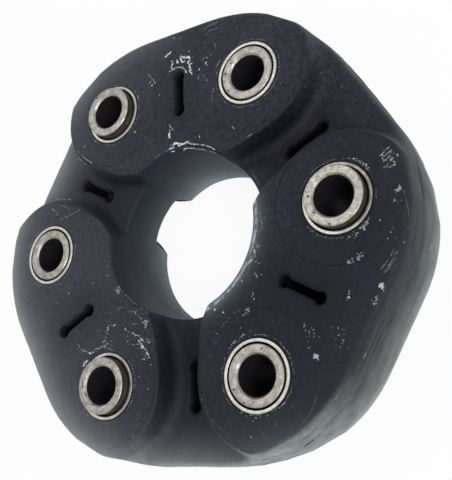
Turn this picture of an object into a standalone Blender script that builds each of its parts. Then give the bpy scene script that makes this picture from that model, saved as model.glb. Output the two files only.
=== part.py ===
"""Driveshaft coupler: a flexible rubber disc with six steel bushes and the cord packs wound round them.

Metres, +Z up. The disc lies on its back with its front face up, and Z runs along its axis.
The origin is on the axis, level with the ends of the three sleeves that the disc rests on.
"""
import math

import bmesh
import bpy
from mathutils import Matrix, Vector

# Bolt circle: six bushes, bolted in turn to the flange in front and to the one behind.
BUSH_COUNT = 6
BOLT_CIRCLE_RADIUS = 0.0550
SEAT_GAP = 0.0003

# Sleeves that the bolts go through
BOLT_HOLE_RADIUS = 0.00605
SLEEVE_RADIUS = 0.0090
SLEEVE_PROUD = 0.0030
SLEEVE_FLUSH = 0.0003
SLEEVE_OUTER_CHAMFER = 0.0006
SLEEVE_INNER_CHAMFER = 0.0008

# Flanged collars, one pressed over each end of a sleeve
COLLAR_SPAN = 0.0346
COLLAR_WALL = 0.0008
COLLAR_MOUTH_GAP = 0.0008
COLLAR_NECK = 0.0030
COLLAR_FLANGE_THICKNESS = 0.0010
COLLAR_FLANGE_LIP = 0.0005

# Cord packs wound round neighbouring bushes
PACK_WIDTH = 0.0046
COAST_PACK_HEIGHT = 0.0078
PACK_WEB = 0.0015

# Rubber ring: a hexagon with well rounded corners, one corner at each bush
RUBBER_THICKNESS = 0.0340
LOBE_MARGIN = 0.0209
LOBE_ROUND = 0.0500
BORE_MARGIN = 0.0275
RIM_ROUND = 0.0022
BORE_ROUND = 0.0015
WALL_BULGE = 0.0003

# Valleys in both faces, between every other pair of bosses
BOSS_RADIUS = 0.0203
VALLEY_DEPTH = 0.0094
FLOOR_ARC_RADIUS = 0.170
FLOOR_OUTWARD_SHIFT = 0.0030
LIP_RIM_CLEARANCE = 0.0020
LIP_INNER_ARC_RADIUS = 0.060
VALLEY_WALL_ANGLE = math.radians(80)
LIP_ROUND = 0.0012
FOOT_ROUND = 0.0045

# Dog-bone slots through the rubber, half way between bushes
SLOT_LENGTH = 0.0163
SLOT_END_RADIUS = 0.0020
SLOT_WAIST = 0.0028
SLOT_OUTWARD_SHIFT = 0.0012

# Facets
SLEEVE_FACETS = 24
COLLAR_FACETS = 20
PACK_END_FACETS = 10
SLOT_END_FACETS = 7
SMOOTH_ANGLE = math.radians(35)

# Sizes and places that follow from the ones above
HALF_STEP = math.pi / BUSH_COUNT
CHORD_RADIUS = BOLT_CIRCLE_RADIUS * math.cos(HALF_STEP)
HALF_PITCH = BOLT_CIRCLE_RADIUS * math.sin(HALF_STEP)
MID_Z = SLEEVE_PROUD + COLLAR_SPAN / 2
COLLAR_BORE_RADIUS = SLEEVE_RADIUS + SEAT_GAP
COLLAR_MOUTH_RADIUS = SLEEVE_RADIUS + COLLAR_MOUTH_GAP
COLLAR_RADIUS = COLLAR_MOUTH_RADIUS + COLLAR_WALL
PACK_INNER_RADIUS = COLLAR_RADIUS + SEAT_GAP
PACK_OUTER_RADIUS = PACK_INNER_RADIUS + PACK_WIDTH
FLANGE_RADIUS = PACK_OUTER_RADIUS + COLLAR_FLANGE_LIP
FLANGE_TOP = COLLAR_SPAN / 2 - COLLAR_NECK
FLANGE_BOTTOM = FLANGE_TOP - COLLAR_FLANGE_THICKNESS
DRIVE_PACK_TOP = FLANGE_BOTTOM - SEAT_GAP
DRIVE_PACK_BOTTOM = COAST_PACK_HEIGHT / 2 + PACK_WEB
LOBE_CENTRE_RADIUS = BOLT_CIRCLE_RADIUS + LOBE_MARGIN - LOBE_ROUND
FLAT_RADIUS = LOBE_CENTRE_RADIUS * math.cos(HALF_STEP) + LOBE_ROUND
LOBE_HALF_ANGLE = HALF_STEP - math.atan2(LOBE_CENTRE_RADIUS * math.sin(HALF_STEP), FLAT_RADIUS)
BORE_RADIUS = BOLT_CIRCLE_RADIUS - BORE_MARGIN
LIP_HALF_WIDTH = HALF_PITCH - BOSS_RADIUS
LIP_REACH = BOLT_CIRCLE_RADIUS + LOBE_MARGIN + LIP_RIM_CLEARANCE
LIP_OUTER_ARC_RADIUS = (LIP_REACH ** 2 - CHORD_RADIUS ** 2 - LIP_HALF_WIDTH ** 2) / (2 * (LIP_REACH + LIP_HALF_WIDTH))

# Bush 1 is at the upper left of the front face, and the numbers run clockwise.
FIRST_BUSH_ANGLE = math.radians(120)


def bush_angle(number):
    return FIRST_BUSH_ANGLE - (number - 1) * 2 * HALF_STEP


def bush_place(number):
    """Point on the mid-plane at the centre of a bush."""
    angle = bush_angle(number)
    return Vector((BOLT_CIRCLE_RADIUS * math.cos(angle), BOLT_CIRCLE_RADIUS * math.sin(angle), MID_Z))


def link_angle(number):
    """Direction of the link between a bush and the next one."""
    return bush_angle(number) - HALF_STEP


def clear_scene():
    for old in list(bpy.data.objects):
        bpy.data.objects.remove(old, do_unlink=True)


def new_collection(name):
    group = bpy.data.collections.new(name)
    bpy.context.scene.collection.children.link(group)
    return group


def new_material(name, colour, roughness, metallic):
    material = bpy.data.materials.new(name)
    material.use_nodes = True
    shader = material.node_tree.nodes["Principled BSDF"]
    shader.inputs["Base Color"].default_value = (*colour, 1.0)
    shader.inputs["Roughness"].default_value = roughness
    shader.inputs["Metallic"].default_value = metallic
    return material


def add_object(name, mesh, group, material=None, place=(0, 0, MID_Z), rotation=(0, 0, 0)):
    piece = bpy.data.objects.new(name, mesh)
    group.objects.link(piece)
    piece.location = place
    piece.rotation_euler = rotation
    if material and not mesh.materials:
        mesh.materials.append(material)
    return piece


def evaluated_mesh(piece):
    """The mesh that a piece's modifiers make of it."""
    depsgraph = bpy.context.evaluated_depsgraph_get()
    return bpy.data.meshes.new_from_object(piece.evaluated_get(depsgraph))


def shade_round(mesh):
    mesh.shade_smooth()
    mesh.set_sharp_from_angle(angle=SMOOTH_ANGLE)


def turned_mesh(name, points, facets, closed=True):
    """A profile of (radius, height) points, down its outer side, turned about Z."""
    last = len(points) if closed else len(points) - 1
    edges = [(i, (i + 1) % len(points)) for i in range(last)]
    profile = bpy.data.meshes.new(name)
    profile.from_pydata([(radius, 0, height) for radius, height in points], edges, [])
    drawn = bpy.data.objects.new(name, profile)
    bpy.context.scene.collection.objects.link(drawn)
    turn = drawn.modifiers.new("turn", 'SCREW')
    turn.axis = 'Z'
    turn.steps = facets
    turn.render_steps = facets
    turn.use_merge_vertices = True
    turn.merge_threshold = 0.00001
    mesh = evaluated_mesh(drawn)
    bpy.data.objects.remove(drawn)
    shade_round(mesh)
    return mesh


def plate_mesh(name, loops, bottom, top):
    """Flat plate between two heights. A second loop inside the first is a hole."""
    curve = bpy.data.curves.new(name, 'CURVE')
    curve.dimensions = '2D'
    curve.fill_mode = 'BOTH'
    curve.extrude = (top - bottom) / 2
    for loop in loops:
        spline = curve.splines.new('POLY')
        spline.points.add(len(loop) - 1)
        for point, (x, y) in zip(spline.points, loop):
            point.co = (x, y, 0, 1)
        spline.use_cyclic_u = True
    drawn = bpy.data.objects.new(name, curve)
    bpy.context.scene.collection.objects.link(drawn)
    mesh = evaluated_mesh(drawn)
    bpy.data.objects.remove(drawn)
    form = bmesh.new()
    form.from_mesh(mesh)
    bmesh.ops.remove_doubles(form, verts=form.verts, dist=0.00001)
    bmesh.ops.translate(form, verts=form.verts, vec=(0, 0, (top + bottom) / 2))
    bmesh.ops.recalc_face_normals(form, faces=form.faces)
    form.to_mesh(mesh)
    form.free()
    mesh.name = name
    shade_round(mesh)
    return mesh


def copies_in_one(name, mesh, places):
    """One mesh that holds a copy of another at each place."""
    form = bmesh.new()
    for place in places:
        before = len(form.verts)
        form.from_mesh(mesh)
        form.verts.ensure_lookup_table()
        bmesh.ops.transform(form, matrix=place, verts=form.verts[before:])
    gathered = bpy.data.meshes.new(name)
    form.to_mesh(gathered)
    form.free()
    return gathered


def arc_points(centre_x, centre_y, radius, start, end, facets):
    points = []
    for step in range(facets + 1):
        angle = start + (end - start) * step / facets
        points.append((centre_x + radius * math.cos(angle), centre_y + radius * math.sin(angle)))
    return points


# Sleeves

def sleeve_profile():
    half = (COLLAR_SPAN + SLEEVE_PROUD + SLEEVE_FLUSH) / 2
    outer, inner = SLEEVE_RADIUS, BOLT_HOLE_RADIUS
    return [(outer - SLEEVE_OUTER_CHAMFER, half), (outer, half - SLEEVE_OUTER_CHAMFER),
            (outer, SLEEVE_OUTER_CHAMFER - half), (outer - SLEEVE_OUTER_CHAMFER, -half),
            (inner + SLEEVE_INNER_CHAMFER, -half), (inner, SLEEVE_INNER_CHAMFER - half),
            (inner, half - SLEEVE_INNER_CHAMFER), (inner + SLEEVE_INNER_CHAMFER, half)]


def build_sleeves(group, steel):
    """Odd sleeves stand proud in front, where their flange bolts up, and even ones behind."""
    mesh = turned_mesh("sleeve", sleeve_profile(), SLEEVE_FACETS)
    shift = (SLEEVE_PROUD - SLEEVE_FLUSH) / 2
    for number in range(1, BUSH_COUNT + 1):
        side = 1 if number % 2 else -1
        place = bush_place(number) + Vector((0, 0, side * shift))
        add_object(f"sleeve_{number}", mesh, group, steel, place)


# Collars

def collar_profile():
    """Neck at the face, flange over the cords, and a tube that reaches the mid-plane."""
    return [(COLLAR_MOUTH_RADIUS, COLLAR_SPAN / 2), (COLLAR_RADIUS, COLLAR_SPAN / 2),
            (COLLAR_RADIUS, FLANGE_TOP), (FLANGE_RADIUS, FLANGE_TOP),
            (FLANGE_RADIUS, FLANGE_BOTTOM), (COLLAR_RADIUS, FLANGE_BOTTOM),
            (COLLAR_RADIUS, SEAT_GAP / 2), (COLLAR_BORE_RADIUS, SEAT_GAP / 2)]


def build_collars(group, steel):
    mesh = turned_mesh("collar", collar_profile(), COLLAR_FACETS)
    for side, rotation in (("front", (0, 0, 0)), ("back", (math.pi, 0, 0))):
        for number in range(1, BUSH_COUNT + 1):
            name = f"{side}_collar_{number}"
            add_object(name, mesh, group, steel, bush_place(number), rotation)


# Cord packs

def racetrack(radius):
    """Closed line round a pair of bushes, with the link's direction along X."""
    right = arc_points(CHORD_RADIUS, HALF_PITCH, radius, 0, math.pi, PACK_END_FACETS)
    left = arc_points(CHORD_RADIUS, -HALF_PITCH, radius, math.pi, 2 * math.pi, PACK_END_FACETS)
    return right + left


def pack_mesh(name, bottom, top, growth=0.0):
    loops = [racetrack(PACK_OUTER_RADIUS + growth), racetrack(PACK_INNER_RADIUS - growth)]
    return plate_mesh(name, loops, bottom - growth, top + growth)


def build_cord_packs(group, cord):
    """Two packs on each thick link, which takes the drive, and one on each thin link."""
    drive = pack_mesh("drive_cord", DRIVE_PACK_BOTTOM, DRIVE_PACK_TOP)
    coast = pack_mesh("coast_cord", -COAST_PACK_HEIGHT / 2, COAST_PACK_HEIGHT / 2)
    for pair in range(BUSH_COUNT // 2):
        thick = link_angle(2 * pair + 1)
        thin = link_angle(2 * pair + 2)
        add_object(f"drive_cord_front_{pair + 1}", drive, group, cord, rotation=(0, 0, thick))
        add_object(f"drive_cord_back_{pair + 1}", drive, group, cord, rotation=(math.pi, 0, thick))
        add_object(f"coast_cord_{pair + 1}", coast, group, cord, rotation=(0, 0, thin))


# Rubber: the outer form is a loft of radial sections, all the way round the ring

def wall_radius(angle):
    """Side wall of the ring, at an angle from the middle of a flat."""
    off_lobe = HALF_STEP - abs(angle)
    if abs(off_lobe) > LOBE_HALF_ANGLE:
        return FLAT_RADIUS / math.cos(angle)
    across = LOBE_CENTRE_RADIUS * math.sin(off_lobe)
    return LOBE_CENTRE_RADIUS * math.cos(off_lobe) + math.sqrt(LOBE_ROUND ** 2 - across ** 2)


def lip_inset(along, across):
    """How far a point lies inside a valley's lip, which bends round the boss and opens to the bore."""
    arc = LIP_OUTER_ARC_RADIUS if along > CHORD_RADIUS else LIP_INNER_ARC_RADIUS
    return math.hypot(along - CHORD_RADIUS, across - LIP_HALF_WIDTH - arc) - arc


def floor_depth(along):
    """Valley floor below the face: an arc that is deepest near the slot."""
    off_deepest = along - CHORD_RADIUS - FLOOR_OUTWARD_SHIFT
    return VALLEY_DEPTH - FLOOR_ARC_RADIUS + math.sqrt(FLOOR_ARC_RADIUS ** 2 - off_deepest ** 2)


LIP_STEPS = 2
FOOT_STEPS = 3


def valley_section(depth):
    """Points (inset, depth) from a valley's lip down its wall to its floor, both corners rounded."""
    lip_run = LIP_ROUND * math.tan(VALLEY_WALL_ANGLE / 2)
    foot_run = FOOT_ROUND * math.tan(VALLEY_WALL_ANGLE / 2)
    foot = depth / math.tan(VALLEY_WALL_ANGLE)
    points = []
    for step in range(LIP_STEPS + 1):
        turn = VALLEY_WALL_ANGLE * step / LIP_STEPS
        points.append((LIP_ROUND * math.sin(turn) - lip_run, LIP_ROUND * (1 - math.cos(turn))))
    for step in range(FOOT_STEPS + 1):
        turn = VALLEY_WALL_ANGLE * (1 - step / FOOT_STEPS)
        inset = foot + foot_run - FOOT_ROUND * math.sin(turn)
        points.append((inset, depth - FOOT_ROUND * (1 - math.cos(turn))))
    return points


BORE_STEPS = 1
RIM_STEPS = 3
FACE_SHARES = (0.10, 0.24, 0.38, 0.52, 0.66, 0.80, 0.91)


def face_rows():
    """Rings of the loft on one face, as (share of the way out, inset at the bore, at the rim, drop)."""
    rows = []
    for step in range(BORE_STEPS + 1):
        turn = math.pi / 2 * step / BORE_STEPS
        rows.append((0.0, BORE_ROUND * (1 - math.cos(turn)), 0.0, BORE_ROUND * (1 - math.sin(turn))))
    for share in FACE_SHARES:
        rows.append((share, BORE_ROUND, RIM_ROUND, 0.0))
    for step in range(RIM_STEPS, -1, -1):
        turn = math.pi / 2 * step / RIM_STEPS
        rows.append((1.0, 0.0, RIM_ROUND * (1 - math.cos(turn)), RIM_ROUND * (1 - math.sin(turn))))
    return rows


def row_radius(row, angle):
    """Radius of a ring of the loft, at an angle from the middle of a valley to that of the next bridge."""
    share, bore_inset, rim_inset, _ = row
    off_flat = angle if angle <= HALF_STEP else 2 * HALF_STEP - angle
    return (1 - share) * (BORE_RADIUS + bore_inset) + share * (wall_radius(off_flat) - rim_inset)


def valley_line_angle(row, line):
    """Angle from a valley's middle at which a ring of the loft crosses one line of the section."""
    inner, outer = 0.0, 2 * HALF_STEP
    for _ in range(30):
        angle = (inner + outer) / 2
        radius = row_radius(row, angle)
        along = radius * math.cos(angle)
        if lip_inset(along, radius * math.sin(angle)) > valley_section(floor_depth(along))[line][0]:
            inner = angle
        else:
            outer = angle
    return angle


def half_period(rows):
    """Stations from the middle of a valley to the middle of the next bridge, as (angle, depth) per row."""
    line_count = LIP_STEPS + FOOT_STEPS + 2
    lines = []
    for line in range(line_count):
        station = []
        for row in rows:
            angle = valley_line_angle(row, line)
            along = row_radius(row, angle) * math.cos(angle)
            station.append((angle, valley_section(floor_depth(along))[line][1]))
        lines.append(station)
    foot = lines[-1]
    floor = []
    for share in (0.0, 0.5):
        station = []
        for row, (foot_angle, _) in zip(rows, foot):
            angle = foot_angle * share
            station.append((angle, floor_depth(row_radius(row, angle) * math.cos(angle))))
        floor.append(station)
    # Past the lip the stations spread over what each ring has left, and keep the lobe's angles at the rim.
    bridge = []
    rim_lip = lines[0][-1][0]
    boss_angles = [HALF_STEP + LOBE_HALF_ANGLE * share for share in (0, 0.25, 0.5, 0.75, 1)]
    for boss_angle in boss_angles + [2 * HALF_STEP]:
        way = (boss_angle - rim_lip) / (2 * HALF_STEP - rim_lip)
        station = []
        for row, (lip, _) in zip(rows, lines[0]):
            spread = lip + (2 * HALF_STEP - lip) * way
            station.append((spread + (boss_angle - spread) * row[0], 0.0))
        bridge.append(station)
    return floor + lines[::-1] + bridge


def ring_section(station, turn, mirror, rows):
    """Closed section of the ring: out along the front face, down the wall and back in behind."""
    front = []
    for row, (angle, depth) in zip(rows, station):
        around = turn + mirror * angle
        front.append((row_radius(row, angle), around, RUBBER_THICKNESS / 2 - depth - row[3]))
    wall, around, _ = front[-1]
    section = front + [(wall + WALL_BULGE, around, 0.0)]
    section += [(radius, angle, -height) for radius, angle, height in reversed(front)]
    return [(radius * math.cos(angle), radius * math.sin(angle), height) for radius, angle, height in section]


def rubber_form():
    rows = face_rows()
    half = half_period(rows)
    sections = []
    for pair in range(BUSH_COUNT // 2):
        turn = link_angle(-2 * pair)
        sections += [ring_section(station, turn, -1, rows) for station in half[:0:-1]]
        sections += [ring_section(station, turn, 1, rows) for station in half[:-1]]
    form = bmesh.new()
    rings = [[form.verts.new(point) for point in section] for section in sections]
    for here, there in zip(rings, rings[1:] + rings[:1]):
        for i in range(len(here)):
            j = (i + 1) % len(here)
            form.faces.new((here[i], here[j], there[j], there[i]))
    bmesh.ops.recalc_face_normals(form, faces=form.faces)
    bmesh.ops.dissolve_limit(form, angle_limit=math.radians(0.2), verts=form.verts, edges=form.edges)
    mesh = bpy.data.meshes.new("rubber_body")
    form.to_mesh(mesh)
    form.free()
    return mesh


# Cutters for the rubber

def bush_bore_profile():
    """Bore that holds the two collars, with a groove for each flange."""
    bore = COLLAR_RADIUS + SEAT_GAP
    groove = FLANGE_RADIUS + SEAT_GAP
    top = COLLAR_SPAN
    down = [(0, top), (bore, top), (bore, FLANGE_TOP + SEAT_GAP), (groove, FLANGE_TOP + SEAT_GAP),
            (groove, FLANGE_BOTTOM - SEAT_GAP), (bore, FLANGE_BOTTOM - SEAT_GAP)]
    return down + [(radius, -height) for radius, height in reversed(down)]


def slot_outline():
    """Dog bone: two round ends joined by a narrower waist, its length along X."""
    middle = CHORD_RADIUS + SLOT_OUTWARD_SHIFT
    reach = SLOT_LENGTH / 2 - SLOT_END_RADIUS
    neck = math.pi - math.asin(SLOT_WAIST / 2 / SLOT_END_RADIUS)
    outer = arc_points(middle + reach, 0, SLOT_END_RADIUS, -neck, neck, SLOT_END_FACETS)
    inner = arc_points(middle - reach, 0, SLOT_END_RADIUS, math.pi - neck, math.pi + neck, SLOT_END_FACETS)
    return outer + inner


def cut(piece, cutter):
    cutter.hide_render = True
    cutter.display_type = 'WIRE'
    boolean = piece.modifiers.new(cutter.name, 'BOOLEAN')
    boolean.operation = 'DIFFERENCE'
    boolean.solver = 'EXACT'
    boolean.object = cutter


def bush_bore_cutter(cutters):
    one = turned_mesh("bush_bore", bush_bore_profile(), COLLAR_FACETS, closed=False)
    places = [Matrix.Translation(bush_place(number)) for number in range(1, BUSH_COUNT + 1)]
    return add_object("bush_bores", copies_in_one("bush_bores", one, places), cutters, place=(0, 0, 0))


def pack_pocket_cutter(cutters):
    drive = pack_mesh("drive_pocket", DRIVE_PACK_BOTTOM, DRIVE_PACK_TOP, SEAT_GAP)
    coast = pack_mesh("coast_pocket", -COAST_PACK_HEIGHT / 2, COAST_PACK_HEIGHT / 2, SEAT_GAP)
    flip = Matrix.Rotation(math.pi, 4, 'X')
    drive_places, coast_places = [], []
    for pair in range(BUSH_COUNT // 2):
        thick = Matrix.Rotation(link_angle(2 * pair + 1), 4, 'Z')
        drive_places += [thick, thick @ flip]
        coast_places.append(Matrix.Rotation(link_angle(2 * pair + 2), 4, 'Z'))
    pockets = [add_object("drive_pockets", copies_in_one("drive_pockets", drive, drive_places), cutters)]
    pockets.append(add_object("coast_pockets", copies_in_one("coast_pockets", coast, coast_places), cutters))
    return pockets


def slot_cutter(cutters):
    one = plate_mesh("slot", [slot_outline()], -RUBBER_THICKNESS, RUBBER_THICKNESS)
    places = [Matrix.Rotation(link_angle(number), 4, 'Z') for number in range(1, BUSH_COUNT + 1)]
    return add_object("slots", copies_in_one("slots", one, places), cutters)


def build_rubber(group, cutters, rubber):
    body = add_object("rubber_body", rubber_form(), group, rubber)
    cut(body, bush_bore_cutter(cutters))
    for pocket in pack_pocket_cutter(cutters):
        cut(body, pocket)
    cut(body, slot_cutter(cutters))
    body.data = evaluated_mesh(body)
    body.modifiers.clear()
    shade_round(body.data)


def main():
    clear_scene()
    coupler = new_collection("driveshaft_coupler")
    cutters = new_collection("cutters")
    rubber = new_material("rubber", (0.038, 0.041, 0.052), 0.62, 0.0)
    steel = new_material("steel", (0.66, 0.64, 0.58), 0.42, 1.0)
    cord = new_material("cord", (0.62, 0.54, 0.36), 0.85, 0.0)
    build_rubber(coupler, cutters, rubber)
    build_sleeves(coupler, steel)
    build_collars(coupler, steel)
    build_cord_packs(coupler, cord)


main()
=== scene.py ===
# %% [markdown]
# # Driveshaft coupler
# A flexible disc couples two driveshaft flanges. Six steel bushes sit on a circle in a thick
# rubber ring, and cord is wound round them inside the rubber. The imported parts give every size.
# This script dresses them: it makes the rubber and the steel again in finer shape, and gives
# each surface its own finish, so that the disc looks like a used one on a white table.

import math
import random

import bpy
from mathutils import Matrix, Vector, noise
from mathutils.bvhtree import BVHTree


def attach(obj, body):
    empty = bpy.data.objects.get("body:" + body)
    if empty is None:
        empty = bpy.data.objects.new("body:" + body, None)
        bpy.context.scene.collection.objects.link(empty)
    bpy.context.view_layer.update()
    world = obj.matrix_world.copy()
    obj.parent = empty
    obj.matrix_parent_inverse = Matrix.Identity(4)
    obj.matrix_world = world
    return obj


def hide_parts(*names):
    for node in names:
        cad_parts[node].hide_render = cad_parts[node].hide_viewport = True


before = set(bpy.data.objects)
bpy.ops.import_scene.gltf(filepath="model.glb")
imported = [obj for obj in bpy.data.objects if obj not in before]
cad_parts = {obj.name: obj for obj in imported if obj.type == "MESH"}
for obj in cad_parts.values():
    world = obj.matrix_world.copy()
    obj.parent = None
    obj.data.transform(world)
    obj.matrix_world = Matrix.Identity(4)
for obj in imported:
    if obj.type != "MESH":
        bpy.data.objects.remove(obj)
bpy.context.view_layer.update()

# %% [markdown]
# ## Camera
# The disc lies on its back and is looked at from above, a little from the right. The camera's
# place was worked out from the six bolt holes and the outline. A lens of about 53 mm close to
# the disc gives the strong perspective, in which the near right side looks much larger.

# %% Place the camera
bpy.ops.object.select_all(action='DESELECT')
bpy.ops.object.camera_add(location=(0.12461313, -0.06413785, 0.21429178), rotation=(0.26108, 0.54593, -0.02309))
camera = bpy.context.object
camera.name = "camera"
camera.data.lens = 52.755
camera.data.sensor_width = 36.0
camera.data.clip_start = 0.01
bpy.context.scene.camera = camera
bpy.context.scene.view_settings.view_transform = 'Standard'
print("camera is", round(camera.location.length * 1000), "mm from the disc's foot")

# %% [markdown]
# ## A few hands for the bench
# These helpers pick one object, settle its place into its mesh, and apply a modifier,
# because a finished piece has its object at the origin and no modifier that still waits.

# %% Small helpers for objects
def pick(piece):
    if bpy.context.object and bpy.context.object.mode != 'OBJECT':
        bpy.ops.object.mode_set(mode='OBJECT')
    bpy.ops.object.select_all(action='DESELECT')
    piece.select_set(True)
    bpy.context.view_layer.objects.active = piece
    return piece


def settle(piece):
    pick(piece)
    bpy.ops.object.transform_apply(location=True, rotation=True, scale=True)
    return piece


def apply_modifier(piece, kind, **settings):
    pick(piece)
    modifier = piece.modifiers.new(kind.lower(), kind)
    for name, value in settings.items():
        setattr(modifier, name, value)
    bpy.ops.object.modifier_apply(modifier=modifier.name)


def copy_to(piece, name, place, turn=0.0):
    """A copy with its own mesh, turned about X and moved, both settled into the mesh."""
    made = piece.copy()
    made.data = piece.data.copy()
    made.name = made.data.name = name
    bpy.context.scene.collection.objects.link(made)
    made.rotation_euler = (turn, 0, 0)
    made.location = place
    return settle(made)


def smooth(piece, degrees=35):
    pick(piece)
    bpy.ops.object.shade_smooth_by_angle(angle=math.radians(degrees))


# %% [markdown]
# ## Sizes
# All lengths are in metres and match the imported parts. The six bushes stand 55 mm from the
# axis. Bush 1 is at the upper left, and the numbers run clockwise. Odd sleeves stand proud in
# front, where their flange bolts up, and even ones behind. Links 2, 4 and 6 are the thin
# bridges with a valley in both faces.

# %% Sizes of the disc
BUSH_COUNT = 6
BOLT_CIRCLE_RADIUS = 0.0550
HALF_STEP = math.pi / BUSH_COUNT
CHORD_RADIUS = BOLT_CIRCLE_RADIUS * math.cos(HALF_STEP)
HALF_PITCH = BOLT_CIRCLE_RADIUS * math.sin(HALF_STEP)
MID_Z = 0.0203
FACE_Z = 0.0373
HALF_THICKNESS = FACE_Z - MID_Z


def bush_angle(number):
    return math.radians(120) - (number - 1) * 2 * HALF_STEP


def link_angle(number):
    return bush_angle(number) - HALF_STEP


def around(angle, radius, z=0.0):
    return Vector((radius * math.cos(angle), radius * math.sin(angle), z))


bushes = [around(bush_angle(number), BOLT_CIRCLE_RADIUS, MID_Z) for number in range(1, BUSH_COUNT + 1)]
print("bushes at", [(round(p.x * 1000, 1), round(p.y * 1000, 1)) for p in bushes])

# %% [markdown]
# ## White table and soft light
# The disc was pictured on plain white. The table is a white plane that is partly its own
# light for the camera, so that it looks white without more light on the disc, and it keeps a
# soft shadow. Right under the disc, where no light gets in, its paint goes dark: a painted shadow.

# %% Build the table, the sky and the lamps
def node(tree, kind, inputs=None, **settings):
    """Add a node, set its options, and give each input a value or a link."""
    made = tree.nodes.new(kind)
    for name, value in settings.items():
        setattr(made, name, value)
    for key, value in (inputs or {}).items():
        if isinstance(value, bpy.types.NodeSocket):
            tree.links.new(value, made.inputs[key])
        else:
            made.inputs[key].default_value = value
    return made


def math_node(tree, operation, first, second=0.0, clamp=False):
    return node(tree, 'ShaderNodeMath', {0: first, 1: second}, operation=operation, use_clamp=clamp).outputs[0]


def seen_directly(tree):
    """1 for what the camera sees, also in a reflection or through glass."""
    path = node(tree, 'ShaderNodeLightPath')
    seen = math_node(tree, 'ADD', path.outputs['Is Camera Ray'], path.outputs['Is Glossy Ray'])
    return math_node(tree, 'ADD', seen, path.outputs['Is Transmission Ray'], clamp=True)


def remap(tree, value, low, high, to_low=0.0, to_high=1.0):
    return node(tree, 'ShaderNodeMapRange', {'Value': value, 'From Min': low, 'From Max': high,
                                             'To Min': to_low, 'To Max': to_high}).outputs[0]


bpy.ops.object.select_all(action='DESELECT')
bpy.ops.mesh.primitive_plane_add(size=6.0, location=(0, 0, -0.0001))
table = bpy.context.object
table.name = "table"
settle(table)
paint = bpy.data.materials.new("white_table")
paint.use_nodes = True
tree = paint.node_tree
tree.nodes.clear()
place = node(tree, 'ShaderNodeTexCoord').outputs['Object']
reach = node(tree, 'ShaderNodeVectorMath', {0: place, 1: (-0.0133, 0.0069, 0)}, operation='DISTANCE').outputs['Value']
outside = remap(tree, reach, 0.070, 0.081)
inside = remap(tree, reach, 0.042, 0.036)
open_sky = math_node(tree, 'MAXIMUM', outside, inside)
own_light = math_node(tree, 'MULTIPLY', math_node(tree, 'MULTIPLY', open_sky, 0.93), seen_directly(tree))
white = node(tree, 'ShaderNodeEmission', {'Color': (1, 1, 1, 1), 'Strength': 1.0})
# Painted shadow: the table's own colour goes dark under the disc and just past its rim.
under = node(tree, 'ShaderNodeVectorMath', {0: place, 1: (-0.004, 0.002, 0)}, operation='DISTANCE').outputs['Value']
shadow_under_disc = remap(tree, under, 0.0700, 0.0765, 0.03, 0.90)
matt_value = math_node(tree, 'MAXIMUM', shadow_under_disc, math_node(tree, 'MULTIPLY', inside, 0.90))
matt_colour = node(tree, 'ShaderNodeCombineXYZ', {0: matt_value, 1: matt_value, 2: matt_value}).outputs[0]
matt = node(tree, 'ShaderNodeBsdfDiffuse', {'Color': matt_colour})
mixed = node(tree, 'ShaderNodeMixShader', {0: own_light, 1: matt.outputs[0], 2: white.outputs[0]})
node(tree, 'ShaderNodeOutputMaterial', {'Surface': mixed.outputs[0]})
table.data.materials.append(paint)

world = bpy.data.worlds.new("studio")
world.use_nodes = True
bpy.context.scene.world = world
tree = world.node_tree
strength = remap(tree, seen_directly(tree), 0.0, 1.0, 0.45, 1.0)
sky = tree.nodes["Background"]
sky.inputs['Color'].default_value = (1, 1, 1, 1)
tree.links.new(strength, sky.inputs['Strength'])


def soft_lamp(name, place, size, watts, aim=(0, 0, 0.02)):
    bpy.ops.object.select_all(action='DESELECT')
    bpy.ops.object.light_add(type='AREA', location=place)
    lamp = bpy.context.object
    lamp.name = name
    lamp.data.shape = 'DISK'
    lamp.data.size = size
    lamp.data.energy = watts
    lamp.rotation_euler = (Vector(aim) - Vector(place)).to_track_quat('-Z', 'Y').to_euler()


soft_lamp("window", (0.60, -0.40, 0.70), 0.55, 5.0)
soft_lamp("ceiling", (-0.20, 0.30, 0.90), 0.70, 1.8)
print("table, sky and lamps are up")

# %% [markdown]
# ## The rubber ring
# The ring is one moulding. Its outer wall bulges round each bush. Between every other pair of
# bosses a deep valley is sunk into both faces, with rounded lips that bend round the bosses.
# Extruding and beveling can't make a wall that bends two ways, so the ring is a loft instead: a torus
# primitive gives the closed grid of points, and each of its sections is laid along the real one.
# The sections crowd together where the valley walls are, so that lips and feet come out round.

# %% Form of the outer wall and the valleys
LOBE_ROUND = 0.0500
LOBE_CENTRE_RADIUS = BOLT_CIRCLE_RADIUS + 0.0209 - LOBE_ROUND
FLAT_RADIUS = LOBE_CENTRE_RADIUS * math.cos(HALF_STEP) + LOBE_ROUND
LOBE_HALF_ANGLE = HALF_STEP - math.atan2(LOBE_CENTRE_RADIUS * math.sin(HALF_STEP), FLAT_RADIUS)
BORE_RADIUS = 0.0275
BORE_ROUND = 0.0015
RIM_ROUND = 0.0022
LIP_HALF_WIDTH = HALF_PITCH - 0.0203
LIP_INNER_ARC = 0.060
LIP_REACH = BOLT_CIRCLE_RADIUS + 0.0209 + 0.0020
LIP_OUTER_ARC = (LIP_REACH ** 2 - CHORD_RADIUS ** 2 - LIP_HALF_WIDTH ** 2) / (2 * (LIP_REACH + LIP_HALF_WIDTH))
VALLEY_DEPTH = 0.0094
FLOOR_ARC = 0.170
WALL_ANGLE = math.radians(80)
LIP_ROUND = 0.0012
FOOT_ROUND = 0.0045


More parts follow.
